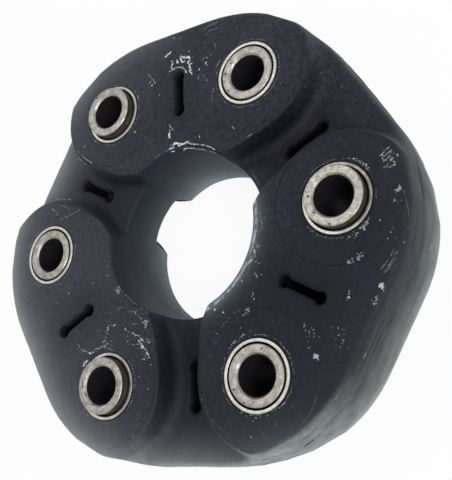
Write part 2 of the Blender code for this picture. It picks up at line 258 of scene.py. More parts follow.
def wall_radius(angle):
    """Outer wall, at an angle from the middle of a flat."""
    off_lobe = HALF_STEP - abs(angle)
    if abs(off_lobe) > LOBE_HALF_ANGLE:
        return FLAT_RADIUS / math.cos(angle)
    across = LOBE_CENTRE_RADIUS * math.sin(off_lobe)
    return LOBE_CENTRE_RADIUS * math.cos(off_lobe) + math.sqrt(LOBE_ROUND ** 2 - across ** 2)


def lip_inset(along, across):
    """How far a point lies inside the valley's lip."""
    arc = LIP_OUTER_ARC if along > CHORD_RADIUS else LIP_INNER_ARC
    return math.hypot(along - CHORD_RADIUS, across - LIP_HALF_WIDTH - arc) - arc


def floor_depth(along):
    off_deepest = along - CHORD_RADIUS - 0.0030
    return VALLEY_DEPTH - FLOOR_ARC + math.sqrt(FLOOR_ARC ** 2 - off_deepest ** 2)


print("outer wall", round(FLAT_RADIUS * 1000, 2), "to", round(wall_radius(HALF_STEP) * 1000, 2), "mm")

# %% [markdown]
# A section across the valley rolls over the lip, falls down a steep wall and runs out on the
# floor in a wide round. The loft needs each of these lines on each ring round the axis, and
# halving the angle again and again finds where they cross.

# %% Rings and stations of the loft
LIP_STEPS, FOOT_STEPS, BORE_STEPS, RIM_STEPS = 5, 9, 4, 7
FACE_SHARES = [0.03 + 0.94 * step / 27 for step in range(28)]


def foot_round_at(along):
    """The foot of the wall is tighter where the valley opens into the bore."""
    return FOOT_ROUND - 0.0021 * max(0.0, min(1.0, (0.0400 - along) / 0.0120))


def valley_section(along):
    """Points of the section as (inset from the lip, depth)."""
    depth = floor_depth(along)
    foot_round = foot_round_at(along)
    lip_run = LIP_ROUND * math.tan(WALL_ANGLE / 2)
    foot_run = foot_round * math.tan(WALL_ANGLE / 2)
    foot = depth / math.tan(WALL_ANGLE)
    points = []
    for step in range(LIP_STEPS + 1):
        turn = WALL_ANGLE * step / LIP_STEPS
        points.append((LIP_ROUND * math.sin(turn) - lip_run, LIP_ROUND * (1 - math.cos(turn))))
    for step in range(FOOT_STEPS + 1):
        turn = WALL_ANGLE * (1 - step / FOOT_STEPS)
        points.append((foot + foot_run - foot_round * math.sin(turn), depth - foot_round * (1 - math.cos(turn))))
    return points


def face_rings():
    """Rings on one face, as (share of the way out, inset at the bore, inset at the rim, drop)."""
    rings = []
    for step in range(BORE_STEPS + 1):
        turn = math.pi / 2 * step / BORE_STEPS
        rings.append((0.0, BORE_ROUND * (1 - math.cos(turn)), 0.0, BORE_ROUND * (1 - math.sin(turn))))
    rings += [(share, BORE_ROUND, RIM_ROUND, 0.0) for share in FACE_SHARES]
    for step in range(RIM_STEPS, -1, -1):
        turn = math.pi / 2 * step / RIM_STEPS
        rings.append((1.0, 0.0, RIM_ROUND * (1 - math.cos(turn)), RIM_ROUND * (1 - math.sin(turn))))
    return rings


def ring_radius(ring, angle):
    share, bore_inset, rim_inset, _ = ring
    off_flat = angle if angle <= HALF_STEP else 2 * HALF_STEP - angle
    return (1 - share) * (BORE_RADIUS + bore_inset) + share * (wall_radius(off_flat) - rim_inset)


def crossing(ring, line):
    """Angle from the valley's middle where a ring crosses one line of the section."""
    inner, outer = 0.0, 2 * HALF_STEP
    for _ in range(26):
        angle = (inner + outer) / 2
        radius = ring_radius(ring, angle)
        along = radius * math.cos(angle)
        if lip_inset(along, radius * math.sin(angle)) > valley_section(along)[line][0]:
            inner = angle
        else:
            outer = angle
    return angle


def stations(rings):
    """From the middle of a valley to the middle of the next bridge: an (angle, depth) for each ring."""
    lines = []
    for line in range(LIP_STEPS + FOOT_STEPS + 2):
        station = []
        for ring in rings:
            angle = crossing(ring, line)
            along = ring_radius(ring, angle) * math.cos(angle)
            station.append((angle, valley_section(along)[line][1]))
        lines.append(station)
    floor = []
    for step in range(7):
        station = []
        for ring, (foot_angle, _) in zip(rings, lines[-1]):
            angle = foot_angle * step / 7
            station.append((angle, floor_depth(ring_radius(ring, angle) * math.cos(angle))))
        floor.append(station)
    rim_lip = lines[0][-1][0]
    boss_angles = [HALF_STEP + LOBE_HALF_ANGLE * step / 8 for step in range(-3, 9)]
    boss_angles += [boss_angles[-1] + (2 * HALF_STEP - boss_angles[-1]) * step / 5 for step in range(1, 6)]
    bridge = []
    for boss_angle in boss_angles:
        way = (boss_angle - rim_lip) / (2 * HALF_STEP - rim_lip)
        station = []
        for ring, (lip, _) in zip(rings, lines[0]):
            spread = lip + (2 * HALF_STEP - lip) * way
            station.append((spread + (boss_angle - spread) * ring[0], 0.0))
        bridge.append(station)
    return floor + lines[::-1] + bridge


rings = face_rings()
half_period = stations(rings)
print(len(rings), "rings on each face,", 6 * len(half_period) - 6, "sections round the axis")

# %% [markdown]
# The outer wall shows the mould's parting line, a ragged groove with a thin ridge of flash
# beside it, and fainter steps above it. They go right into the wall's rows, and noise breaks
# them up as on the real wall. All points also get a faint swell, since no rubber part is truly flat.

# %% Lay the torus grid along the sections
# Each row of the wall as its height over the middle and its step outward in millimetres.
WALL_ROWS = [(0.0128, 0.0), (0.0118, 0.0), (0.0115, -0.10), (0.0112, 0.0), (0.0092, 0.0), (0.0088, -0.12),
             (0.0084, 0.0), (0.0068, 0.0), (0.0058, 0.05), (0.0054, 0.22), (0.0052, 0.10), (0.0050, -0.42),
             (0.0047, -0.45), (0.0044, -0.10), (0.0041, 0.0), (0.0020, 0.0), (0.0, 0.0), (-0.0040, 0.0),
             (-0.0080, 0.0), (-0.0120, 0.0)]


def wall_bulge(z):
    return 0.0003 * (1 - (z / (HALF_THICKNESS - RIM_ROUND)) ** 2)


def drawn_in(radius, z):
    """The foot of the wall tapers in towards the back face, which comes off the floor of the mould."""
    outer_share = max(0.0, min(1.0, (radius - 0.058) / 0.012))
    foot_share = max(0.0, min(1.0, (-z - 0.001) / (HALF_THICKNESS - 0.001)))
    return 0.0008 * outer_share * foot_share ** 2


def section(station, turn, mirror):
    front = []
    for ring, (angle, depth) in zip(rings, station):
        front.append((ring_radius(ring, angle), turn + mirror * angle, HALF_THICKNESS - depth - ring[3]))
    wall, angle, top = front[-1]
    points = list(front)
    for z, step in WALL_ROWS:
        # A row keeps its height on the full wall, and closes up where a valley has lowered the rim.
        z = z * top / (HALF_THICKNESS - RIM_ROUND) if top < HALF_THICKNESS - RIM_ROUND - 0.0001 else z
        spot = Vector((40 * math.cos(angle), 40 * math.sin(angle), z * 60))
        broken = 0.35 + 1.3 * max(0.0, min(1.0, 0.5 + noise.noise(spot * 0.14) + 0.7 * noise.noise(spot * 0.5)))
        points.append((wall + wall_bulge(z) + 0.001 * step * broken, angle, z))
    points += [(radius, around_axis, -z) for radius, around_axis, z in reversed(front)]
    bore = points[0][0]
    for share in (0.25, 0.5, 0.75):
        z = -points[0][2] * (1 - share) + points[0][2] * share
        points.append((bore, points[0][1], z))
    return points


def placed(points):
    laid = []
    for radius, angle, z in points:
        radius -= drawn_in(radius, z)
        spot = Vector((radius * math.cos(angle), radius * math.sin(angle), z))
        swell = 0.00010 * noise.noise(spot * 90) + 0.00004 * noise.noise(spot * 300 + Vector((7, 3, 1)))
        outward = Vector((spot.x, spot.y, 0)).normalized()
        laid.append(spot + outward * swell + Vector((0, 0, swell + MID_Z)))
    return laid


sections = []
for pair in range(BUSH_COUNT // 2):
    turn = link_angle(-2 * pair)
    sections += [placed(section(station, turn, -1)) for station in half_period[:0:-1]]
    sections += [placed(section(station, turn, 1)) for station in half_period[:-1]]

bpy.ops.object.select_all(action='DESELECT')
bpy.ops.mesh.primitive_torus_add(major_segments=len(sections), minor_segments=len(sections[0]),
                                 major_radius=0.05, minor_radius=0.02, location=(0, 0, 0), generate_uvs=False)
rubber = bpy.context.object
rubber.name = rubber.data.name = "rubber_ring"
for i, points in enumerate(sections):
    for j, point in enumerate(points):
        rubber.data.vertices[i * len(points) + j].co = point
pick(rubber)
bpy.ops.object.mode_set(mode='EDIT')
bpy.ops.mesh.select_all(action='SELECT')
bpy.ops.mesh.normals_make_consistent(inside=False)
bpy.ops.object.mode_set(mode='OBJECT')
print("rubber loft:", len(rubber.data.polygons), "faces")

# %% Ease the corners where the lips run out at the rim
rim_lip = crossing(rings[-1], 0)
bpy.ops.object.mode_set(mode='EDIT')
bpy.ops.mesh.select_mode(type='VERT')
bpy.ops.mesh.select_all(action='DESELECT')
bpy.ops.object.mode_set(mode='OBJECT')
eased = 0
for vertex in rubber.data.vertices:
    from_valley = math.atan2(vertex.co.y, vertex.co.x) - link_angle(2)
    off_valley = abs((from_valley + math.radians(60)) % math.radians(120) - math.radians(60))
    at_corner = abs(off_valley - rim_lip) < math.radians(5.5) and math.hypot(vertex.co.x, vertex.co.y) > 0.0690
    vertex.select = at_corner and abs(vertex.co.z - MID_Z) > 0.005
    eased += vertex.select
bpy.ops.object.mode_set(mode='EDIT')
bpy.ops.mesh.vertices_smooth(factor=0.5, repeat=14)
bpy.ops.object.mode_set(mode='OBJECT')
print(eased, "points eased at the corners")

# %% [markdown]
# ## Cuts in the rubber
# Six round holes hold the bushes. Six dog-bone slots between them let the disc flex, and their
# mouths are rounded. A fine groove runs round each bush where an insert of the mould met the
# rest. Each cutter is a simple shape, made once and copied, and a Boolean takes them all out.

# %% Turn a closed profile
def turned(name, profile, facets, closed=True):
    """Extrude a circle from one point of the profile to the next, then join the last ring to the first."""
    bpy.ops.object.select_all(action='DESELECT')
    radius, height = profile[0]
    bpy.ops.mesh.primitive_circle_add(vertices=facets, radius=radius, location=(0, 0, height))
    piece = settle(bpy.context.object)
    piece.name = piece.data.name = name
    bpy.ops.object.mode_set(mode='EDIT')
    bpy.ops.mesh.select_mode(type='EDGE')
    bpy.ops.mesh.select_all(action='SELECT')
    for next_radius, next_height in profile[1:]:
        grow = next_radius / radius
        bpy.ops.mesh.extrude_edges_move()
        bpy.ops.transform.resize(value=(grow, grow, 1), center_override=(0, 0, 0))
        bpy.ops.transform.translate(value=(0, 0, next_height - height))
        radius, height = next_radius, next_height
    bpy.ops.mesh.select_all(action='DESELECT')
    bpy.ops.mesh.select_non_manifold()
    if closed:
        bpy.ops.mesh.bridge_edge_loops()
    else:
        bpy.ops.mesh.edge_face_add()
    bpy.ops.mesh.select_all(action='SELECT')
    bpy.ops.mesh.normals_make_consistent(inside=False)
    bpy.ops.object.mode_set(mode='OBJECT')
    return piece


def copies_at(cutter, places):
    """Copy a cutter to each place, and clear the first one away."""
    copies = []
    for place in places:
        made = cutter.copy()
        made.data = cutter.data.copy()
        bpy.context.scene.collection.objects.link(made)
        made.matrix_world = place
        copies.append(settle(made))
    bpy.data.objects.remove(cutter)
    return copies


def cut_out(body, cutters):
    """Join the cutters, take them out of the body in one go, and clear them away."""
    pick(cutters[0])
    for made in cutters:
        made.select_set(True)
    bpy.ops.object.join()
    apply_modifier(body, 'BOOLEAN', operation='DIFFERENCE', solver='EXACT', object=cutters[0])
    bpy.data.objects.remove(cutters[0])


bush_cutter = turned("bush_cutter", [(0.01110, -0.005), (0.01110, 0.00325), (0.01055, 0.0038), (0.01055, 0.0368),
                                     (0.01110, 0.03735), (0.01110, 0.046)], 96, closed=False)
print("cutter:", len(bush_cutter.data.polygons), "faces")

# %% Slots with rounded mouths
SLOT_LENGTH = 0.0163
SLOT_END_RADIUS = 0.0020
MOUTH_ROUND = 0.0012
SLOT_SHIFT = 0.0012
SLOT_WAIST = {1: 0.0032, 2: 0.0029, 3: 0.0026, 4: 0.0029, 5: 0.0024, 6: 0.0026}
OFF_CENTRE = {1: -0.0007, 2: 0.0, 3: 0.0, 4: 0.0, 5: 0.0008, 6: 0.0}
SLOT_OUTWARD = {1: 0.0006, 2: 0.0012, 3: 0.0014, 4: 0.0012, 5: 0.0012, 6: 0.0012}


def dog_bone(waist, grow):
    """Outline of a slot, spread outward by a little for its mouth."""
    reach = SLOT_LENGTH / 2 - SLOT_END_RADIUS
    radius = SLOT_END_RADIUS + grow
    neck = math.pi - math.asin((waist / 2 + grow) / radius)
    points = []
    for end in (1, -1):
        for step in range(-9, 10):
            turn = neck * step / 9
            points.append((end * (reach + radius * math.cos(turn)), end * radius * math.sin(turn)))
    return points


def slot_cutter(waist, top):
    """Dog-bone prism that flares into a quarter round at the two faces that it passes, at +top and -top."""
    levels = [(top + 0.006, MOUTH_ROUND)]
    for step in range(5):
        turn = math.pi / 2 * step / 4
        levels.append((top - MOUTH_ROUND * (1 - math.cos(turn)), MOUTH_ROUND * (1 - math.sin(turn))))
    levels += [(-z, grow) for z, grow in reversed(levels)]
    points, faces = [], []
    for z, grow in levels:
        points += [(x, y, z) for x, y in dog_bone(waist, grow)]
    count = len(points) // len(levels)
    for low in range(0, count * (len(levels) - 1), count):
        for i in range(count):
            j = (i + 1) % count
            faces.append((low + i, low + j, low + count + j, low + count + i))
    faces += [tuple(range(count)), tuple(range(len(points) - count, len(points)))]
    mesh = bpy.data.meshes.new("slot_cutter")
    mesh.from_pydata(points, [], faces)
    piece = bpy.data.objects.new("slot_cutter", mesh)
    bpy.context.scene.collection.objects.link(piece)
    pick(piece)
    bpy.ops.object.mode_set(mode='EDIT')
    bpy.ops.mesh.select_all(action='SELECT')
    bpy.ops.mesh.normals_make_consistent(inside=False)
    bpy.ops.object.mode_set(mode='OBJECT')
    return piece


slot_middle = CHORD_RADIUS + SLOT_SHIFT
thin_top = HALF_THICKNESS - floor_depth(slot_middle)
cut_out(rubber, copies_at(bush_cutter, [Matrix.Translation((p.x, p.y, 0)) for p in bushes]))
slots, slot_cutters = [], []
for number, waist in SLOT_WAIST.items():
    along_link = CHORD_RADIUS + SLOT_OUTWARD[number]
    place = Matrix.Rotation(link_angle(number), 4, 'Z') @ Matrix.Translation((along_link, OFF_CENTRE[number], MID_Z))
    top = HALF_THICKNESS if number % 2 else thin_top
    slot_cutters += copies_at(slot_cutter(waist, top), [place])
    slots.append((place.inverted(), top))
cut_out(rubber, slot_cutters)
print("rubber with bores and slots:", len(rubber.data.polygons), "faces")

# %% Grooves where the mould's inserts met the rest
bpy.ops.object.select_all(action='DESELECT')
bpy.ops.mesh.primitive_torus_add(major_segments=120, minor_segments=6, major_radius=0.0194, minor_radius=0.00019)
groove = bpy.context.object
groove_places = []
for p in bushes:
    groove_places.append(Matrix.Translation((p.x, p.y, FACE_Z + 0.00003)))
    groove_places.append(Matrix.Translation((p.x, p.y, 2 * MID_Z - FACE_Z - 0.00003)))
cut_out(rubber, copies_at(groove, groove_places))
print("rubber with grooves:", len(rubber.data.polygons), "faces")

# %% [markdown]
# ## Rubber finish
# Moulded rubber is a deep charcoal. It is matt and finely grained, and pale dust clings to its
# outer wall. A faint blue painted sheen pales the faces towards the left, and painted light pales
# the wall and the bore. Noise in the piece's own coordinates varies the charcoal, and the wall's
# dust and painted light come from how far out a point lies and how it faces.

# %% Mix the rubber
def new_material(name):
    material = bpy.data.materials.new(name)
    material.use_nodes = True
    return material, material.node_tree, material.node_tree.nodes["Principled BSDF"]


def noise_node(tree, vector, scale, detail=2.0, roughness=0.5):
    return node(tree, 'ShaderNodeTexNoise', {'Vector': vector, 'Scale': scale, 'Detail': detail,
                                             'Roughness': roughness}).outputs['Fac']


def vector_node(tree, operation, first, second=(0.0, 0.0, 0.0)):
    made = node(tree, 'ShaderNodeVectorMath', {0: first, 1: second}, operation=operation)
    return made.outputs['Value' if operation in {'LENGTH', 'DOT_PRODUCT'} else 'Vector']


def mix_colours(tree, factor, first, second):
    made = node(tree, 'ShaderNodeMix', data_type='RGBA')
    for key, value in ((0, factor), (6, first), (7, second)):
        if isinstance(value, bpy.types.NodeSocket):
            tree.links.new(value, made.inputs[key])
        elif key == 0:
            made.inputs[key].default_value = value
        else:
            made.inputs[key].default_value = (*value, 1.0)
    return made.outputs[2]


rubber_finish, tree, shader = new_material("charcoal_rubber")
coordinates = node(tree, 'ShaderNodeTexCoord')
spot = coordinates.outputs['Object']
parts = node(tree, 'ShaderNodeSeparateXYZ', {0: spot})
flat_spot = node(tree, 'ShaderNodeCombineXYZ', {0: parts.outputs[0], 1: parts.outputs[1]}).outputs[0]
reach = vector_node(tree, 'LENGTH', flat_spot)
outward = vector_node(tree, 'DOT_PRODUCT', vector_node(tree, 'NORMALIZE', flat_spot), coordinates.outputs['Normal'])
clouds = noise_node(tree, spot, 55.0, 4.0)
broad = noise_node(tree, spot, 26.0, 2.0)
mottle = noise_node(tree, spot, 620.0, 3.0, 0.6)
grain = noise_node(tree, spot, 1500.0, 2.0)
blotches = noise_node(tree, spot, 150.0, 4.0, 0.65)
flattened = node(tree, 'ShaderNodeMapping', {'Vector': spot, 'Scale': (60.0, 60.0, 420.0)}).outputs[0]
streaks = noise_node(tree, flattened, 1.0, 4.0, 0.65)
ragged = math_node(tree, 'ADD', math_node(tree, 'MULTIPLY', streaks, 0.35),
                   math_node(tree, 'MULTIPLY', blotches, 0.65))
print("rubber coordinates are ready")

# %% [markdown]
# Dust, pale lines, painted sheen and painted shade all follow the form: the rim, the bore, the
# slots and the valleys. So the finish first works out, from a point's own place, which way it lies
# from the axis, and how far it is from the outer wall, whose flats and lobes are the ones of the loft.

# %% Where on the ring a point lies
def along_way(vector, direction):
    """How far a point lies along a direction in the disc's plane."""
    return vector_node(tree, 'DOT_PRODUCT', vector, direction)


def fading(value, length):
    """1 where the value is nothing, falling off smoothly over about a length."""
    distance = math_node(tree, 'MAXIMUM', value, 0.0)
    return math_node(tree, 'EXPONENT', math_node(tree, 'MULTIPLY', distance, -1 / length))


def product(*factors):
    made = factors[0]
    for factor in factors[1:]:
        made = math_node(tree, 'MULTIPLY', made, factor)
    return made


heading = vector_node(tree, 'NORMALIZE', flat_spot)
around_axis = math_node(tree, 'ARCTAN2', parts.outputs[1], parts.outputs[0])
off_link = math_node(tree, 'PINGPONG', math_node(tree, 'SUBTRACT', around_axis, HALF_STEP), HALF_STEP)
along = math_node(tree, 'MULTIPLY', reach, math_node(tree, 'COSINE', off_link))
across = math_node(tree, 'MULTIPLY', reach, math_node(tree, 'SINE', off_link))
from_lobe = vector_node(tree, 'LENGTH', node(tree, 'ShaderNodeCombineXYZ', {
    0: math_node(tree, 'SUBTRACT', along, LOBE_CENTRE_RADIUS * math.cos(HALF_STEP)),
    1: math_node(tree, 'SUBTRACT', across, LOBE_CENTRE_RADIUS * math.sin(HALF_STEP))}).outputs[0])
in_lobe = remap(tree, off_link, HALF_STEP - LOBE_HALF_ANGLE - 0.01, HALF_STEP - LOBE_HALF_ANGLE + 0.01)
inset = node(tree, 'ShaderNodeMix', {0: in_lobe, 2: math_node(tree, 'SUBTRACT', FLAT_RADIUS, along),
                                     3: math_node(tree, 'SUBTRACT', LOBE_ROUND, from_lobe)}).outputs[0]
facing_up = node(tree, 'ShaderNodeSeparateXYZ', {0: coordinates.outputs['Normal']}).outputs[2]
print("distance from the rim is ready")

# %% Charcoal, painted sheen and specks
charcoal = mix_colours(tree, remap(tree, clouds, 0.35, 0.65), (0.005, 0.006, 0.012), (0.010, 0.011, 0.020))


def tint(share, colour):
    """Lay a colour over the charcoal, by a share that varies over the ring."""
    global charcoal
    charcoal = mix_colours(tree, share, charcoal, colour)


# Painted sheen: a faint blue paleness over the faces, growing towards the left.
lean = remap(tree, along_way(flat_spot, (-1.0, -0.12, 0.0)), -0.020, 0.060)
left_sheen = math_node(tree, 'ADD', lean, remap(tree, broad, 0.35, 0.65, -0.15, 0.20), clamp=True)
tint(left_sheen, (0.042, 0.045, 0.060))
tint(remap(tree, mottle, 0.42, 0.68, 0.0, 0.60), (0.034, 0.031, 0.050))
tint(remap(tree, mottle, 0.48, 0.28, 0.0, 0.75), (0.002, 0.005, 0.010))
tint(remap(tree, grain, 0.50, 0.78, 0.0, 0.45), (0.068, 0.073, 0.088))
cells = node(tree, 'ShaderNodeTexVoronoi', {'Vector': spot, 'Scale': 640.0}).outputs['Distance']
sparse = remap(tree, noise_node(tree, spot, 190.0, 2.0), 0.55, 0.66)
speck = product(remap(tree, cells, 0.19, 0.08), sparse, 0.60)
tint(speck, (0.300, 0.300, 0.290))
print("charcoal mixed")

# %% [markdown]
# Little light reaches the valleys and the slots. A painted shade by place, laid over the charcoal,
# darkens them and the near side of the ring, where the lamps leave the rubber too pale.

# %% Painted shade in the hollows and on the near side
off_middle = math_node(tree, 'ABSOLUTE', math_node(tree, 'SUBTRACT', parts.outputs[2], MID_Z))
deep = remap(tree, off_middle, 0.0166, 0.0130)
# Painted shade deep in the valleys, inside the rim.
valley_shade = product(deep, remap(tree, reach, 0.060, 0.040), 0.60)
tint(valley_shade, (0.004, 0.005, 0.012))
off_slot_middle = math_node(tree, 'ABSOLUTE', math_node(tree, 'SUBTRACT', along, slot_middle))
past_end = math_node(tree, 'MAXIMUM', math_node(tree, 'SUBTRACT', off_slot_middle, 0.006), 0.0)
from_slot = vector_node(tree, 'LENGTH', node(tree, 'ShaderNodeCombineXYZ', {0: past_end, 1: across}).outputs[0])
third_turns = math_node(tree, 'SINE', product(around_axis, 3.0))
in_valley = remap(tree, third_turns, -0.4, 0.4, 0.40, 0.75)
shaded_near_side = remap(tree, along_way(flat_spot, (0.80, -0.60, 0.0)), 0.012, 0.040)
near_slot = remap(tree, from_slot, 0.0115, 0.0020)
# Painted shade round the slots, most in the valleys and on the near side.
slot_shade = product(near_slot, math_node(tree, 'MAXIMUM', in_valley, product(shaded_near_side, 0.75)))
tint(slot_shade, (0.002, 0.002, 0.005))
# Painted shade over the near side of the ring.
tint(product(shaded_near_side, 0.60), (0.003, 0.004, 0.009))
print("hollows darkened")

# %% [markdown]
# A painted sheen greys the rubber at its rim, palest on the far left. The edge of the bore on the
# right goes paler, with a thin pale line. Both fade inward from the edge like a breath on glass.

# %% Painted sheen on the rim, and a paler bore edge
up = remap(tree, facing_up, 0.02, 0.45, 0.30, 1.0)
rim_side = remap(tree, along_way(heading, (-0.95, -0.31, 0.0)), -0.40, 0.80, 0.03, 1.0)
# Painted sheen along the rim, strongest on up-facing rubber at the far left.
rim_sheen = product(fading(inset, 0.0044), up, rim_side, remap(tree, blotches, 0.30, 0.70, 0.75, 0.95))
tint(rim_sheen, (0.385, 0.395, 0.410))
on_front = remap(tree, parts.outputs[2], 0.028, 0.033)
bore_side = remap(tree, along_way(heading, (0.90, -0.43, 0.0)), 0.42, 0.80)
past_bore = math_node(tree, 'SUBTRACT', reach, 0.0286)
# Paler towards the bore's edge on the right side, with a thin pale line on the edge.
bore_edge_paling = product(fading(past_bore, 0.0018), on_front, bore_side, up, 0.62)
tint(bore_edge_paling, (0.210, 0.265, 0.310))
off_line = math_node(tree, 'ABSOLUTE', math_node(tree, 'SUBTRACT', reach, 0.0291))
line = remap(tree, off_line, 0.0006, 0.0002)
bore_edge_line = product(line, on_front, bore_side, remap(tree, noise_node(tree, spot, 420.0, 3.0), 0.38, 0.55))
tint(bore_edge_line, (0.400, 0.430, 0.450))
print("edges laid")

# %% [markdown]
# Road dust clings to the steep walls, and painted light makes them paler low down, and a painted
# sheen palest at the near end. The paleness is streaky along the wall, as the mould left it. In the
# bore there is a painted shade, with a bluish painted glow at the foot.

# %% Dust and painted light on the outer wall
on_wall = product(remap(tree, outward, 0.35, 0.90), remap(tree, reach, 0.064, 0.067))
near_end = remap(tree, along_way(heading, (0.26, -0.965, 0.0)), 0.80, 1.00)
# Painted light: the wall is paler low down, and paler still at the near end.
down_wall = remap(tree, parts.outputs[2], 0.034, 0.006, 0.03, 0.85)
share = math_node(tree, 'MAXIMUM', down_wall, product(near_end, 0.90))
wall_dust_and_light = product(on_wall, share, remap(tree, ragged, 0.34, 0.62, 0.25, 1.0))
dust_and_sheen = mix_colours(tree, remap(tree, broad, 0.45, 0.62), (0.155, 0.198, 0.210), (0.155, 0.175, 0.170))
# Painted sheen: the colour goes much paler at the near end.
dust_and_sheen = mix_colours(tree, product(near_end, 0.85), dust_and_sheen, (0.450, 0.510, 0.495))
tint(wall_dust_and_light, dust_and_sheen)
above_foot = math_node(tree, 'SUBTRACT', parts.outputs[2], MID_Z - HALF_THICKNESS)
foot_side = remap(tree, along_way(heading, (0.80, -0.60, 0.0)), -0.55, 0.55, 0.15, 0.85)
# Dust and painted light: paler at the foot of the wall on the lower right.
foot_dust_and_light = product(on_wall, fading(above_foot, 0.0064), foot_side, remap(tree, ragged, 0.30, 0.60, 0.5, 1.0))
tint(foot_dust_and_light, (0.440, 0.475, 0.450))
print("dust laid on the wall")

# %% Painted shade and glow in the bore
on_bore = product(remap(tree, reach, 0.0305, 0.0290), remap(tree, outward, -0.35, -0.80))
# Painted shade: the bore's wall is darkened.
tint(product(on_bore, 0.55), (0.012, 0.017, 0.034))
bore_wall_side = remap(tree, along_way(heading, (0.30, 0.95, 0.0)), 0.55, 0.92, 0.55, 1.0)
# Painted glow: a bluish paleness at the foot of the bore's far wall.
bore_foot_glow = product(on_bore, fading(above_foot, 0.0075), bore_wall_side, remap(tree, ragged, 0.30, 0.65, 0.70, 1.0))
tint(bore_foot_glow, (0.640, 0.760, 0.800))
print("dust laid in the bore")

# %% Put the rubber's finish together
tree.links.new(charcoal, shader.inputs['Base Color'])
tree.links.new(remap(tree, clouds, 0.3, 0.7, 0.52, 0.66), shader.inputs['Roughness'])
shader.inputs['Specular IOR Level'].default_value = 0.17
shader.inputs['Sheen Weight'].default_value = 0.045
shader.inputs['Sheen Roughness'].default_value = 0.35
shader.inputs['Sheen Tint'].default_value = (0.72, 0.82, 0.86, 1.0)
skin = math_node(tree, 'ADD', product(grain, 0.6), noise_node(tree, spot, 230.0, 2.0))
bump = node(tree, 'ShaderNodeBump', {'Strength': 0.45, 'Distance': 0.0003, 'Height': skin})
tree.links.new(bump.outputs[0], shader.inputs['Normal'])
rubber.data.materials.clear()
rubber.data.materials.append(rubber_finish)
print("rubber finish is on")

# %% [markdown]
# The slots are deep and narrow, so they look black a few millimetres in. Their walls are picked
# out by place and get a rubber of their own, whose colour is a painted shade that darkens with depth.

# %% Line the slots
def slot_wall(name, top):
    """Rubber that goes from charcoal at the slot's mouth to a near-black painted shade a few millimetres in."""
    finish, tree, shader = new_material(name)
    spot = node(tree, 'ShaderNodeTexCoord').outputs['Object']
    height = node(tree, 'ShaderNodeSeparateXYZ', {0: spot}).outputs[2]
    depth = math_node(tree, 'SUBTRACT', top, math_node(tree, 'ABSOLUTE', math_node(tree, 'SUBTRACT', height, MID_Z)))
    # Painted shade: the wall goes near black with depth in the slot.
    deep_shade = mix_colours(tree, noise_node(tree, spot, 400.0, 3.0), (0.002, 0.002, 0.004), (0.008, 0.008, 0.013))
    colour = mix_colours(tree, remap(tree, depth, 0.0004, 0.0034), (0.022, 0.021, 0.031), deep_shade)
    tree.links.new(colour, shader.inputs['Base Color'])
    shader.inputs['Roughness'].default_value = 0.85
    shader.inputs['Specular IOR Level'].default_value = 0.08
    rough = noise_node(tree, spot, 700.0, 2.0)
    bump = node(tree, 'ShaderNodeBump', {'Strength': 0.3, 'Distance': 0.0003, 'Height': rough})
    tree.links.new(bump.outputs[0], shader.inputs['Normal'])
    return finish


rubber.data.materials.append(slot_wall("thick_link_slot_wall", HALF_THICKNESS))
rubber.data.materials.append(slot_wall("thin_link_slot_wall", thin_top))
SLOT_BOX = (0.0096, 0.0034)
slot_faces = 0
for face in rubber.data.polygons:
    for to_slot, top in slots:
        spot = to_slot @ face.center
        if abs(spot.x) < SLOT_BOX[0] and abs(spot.y) < SLOT_BOX[1] and abs(spot.z) < top - 0.0004:
            face.material_index = 1 if top == HALF_THICKNESS else 2
            slot_faces += 1
print(slot_faces, "faces line the slots")
smooth(rubber, 40)
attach(rubber, "root")
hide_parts("rubber_body")
print("rubber finished")

# %% [markdown]
# ## Scuffs, flash and chips
# Use left pale scuffs, slivers of flash and small chips on the rubber, mostly round the bushes
# and along the edges. Some of the thin pale lines among them are painted highlights, where the
# grooves round the bushes, the rim and the bore's edge catch the light. A texture can't put each
# one in its place, so they are very thin flakes, a few hundredths of a millimetre proud. Each path
# below was read off the photograph in its pixels, and a ray from the camera finds where on the
# rubber it lies.

# %% Find a place on the rubber
IMAGE_WIDTH, IMAGE_HEIGHT = 452, 480
FOCAL_PIXELS = camera.data.lens / camera.data.sensor_width * IMAGE_HEIGHT
to_scene = camera.rotation_euler.to_matrix()


def skin_of(piece):
    faces = [tuple(face.vertices) for face in piece.data.polygons]
    return BVHTree.FromPolygons([vertex.co for vertex in piece.data.vertices], faces)


def place_at(skin, across, down):
    """Where the ray through a pixel of the photograph meets a skin."""
    rightward, upward = across - IMAGE_WIDTH / 2, IMAGE_HEIGHT / 2 - down
    aim = to_scene @ Vector((rightward / FOCAL_PIXELS, upward / FOCAL_PIXELS, -1))
    return skin.ray_cast(camera.location, aim)[0]


rubber_skin = skin_of(rubber)
print("a spot beside slot 1 lies at", place_at(rubber_skin, 165, 100))

# %% Lay flakes along a path
chance = random.Random(5)
FLAKE_SPACING = 0.00035
FLAKE_LENGTH = 0.0010
CRUMBS_IN_RING = 190


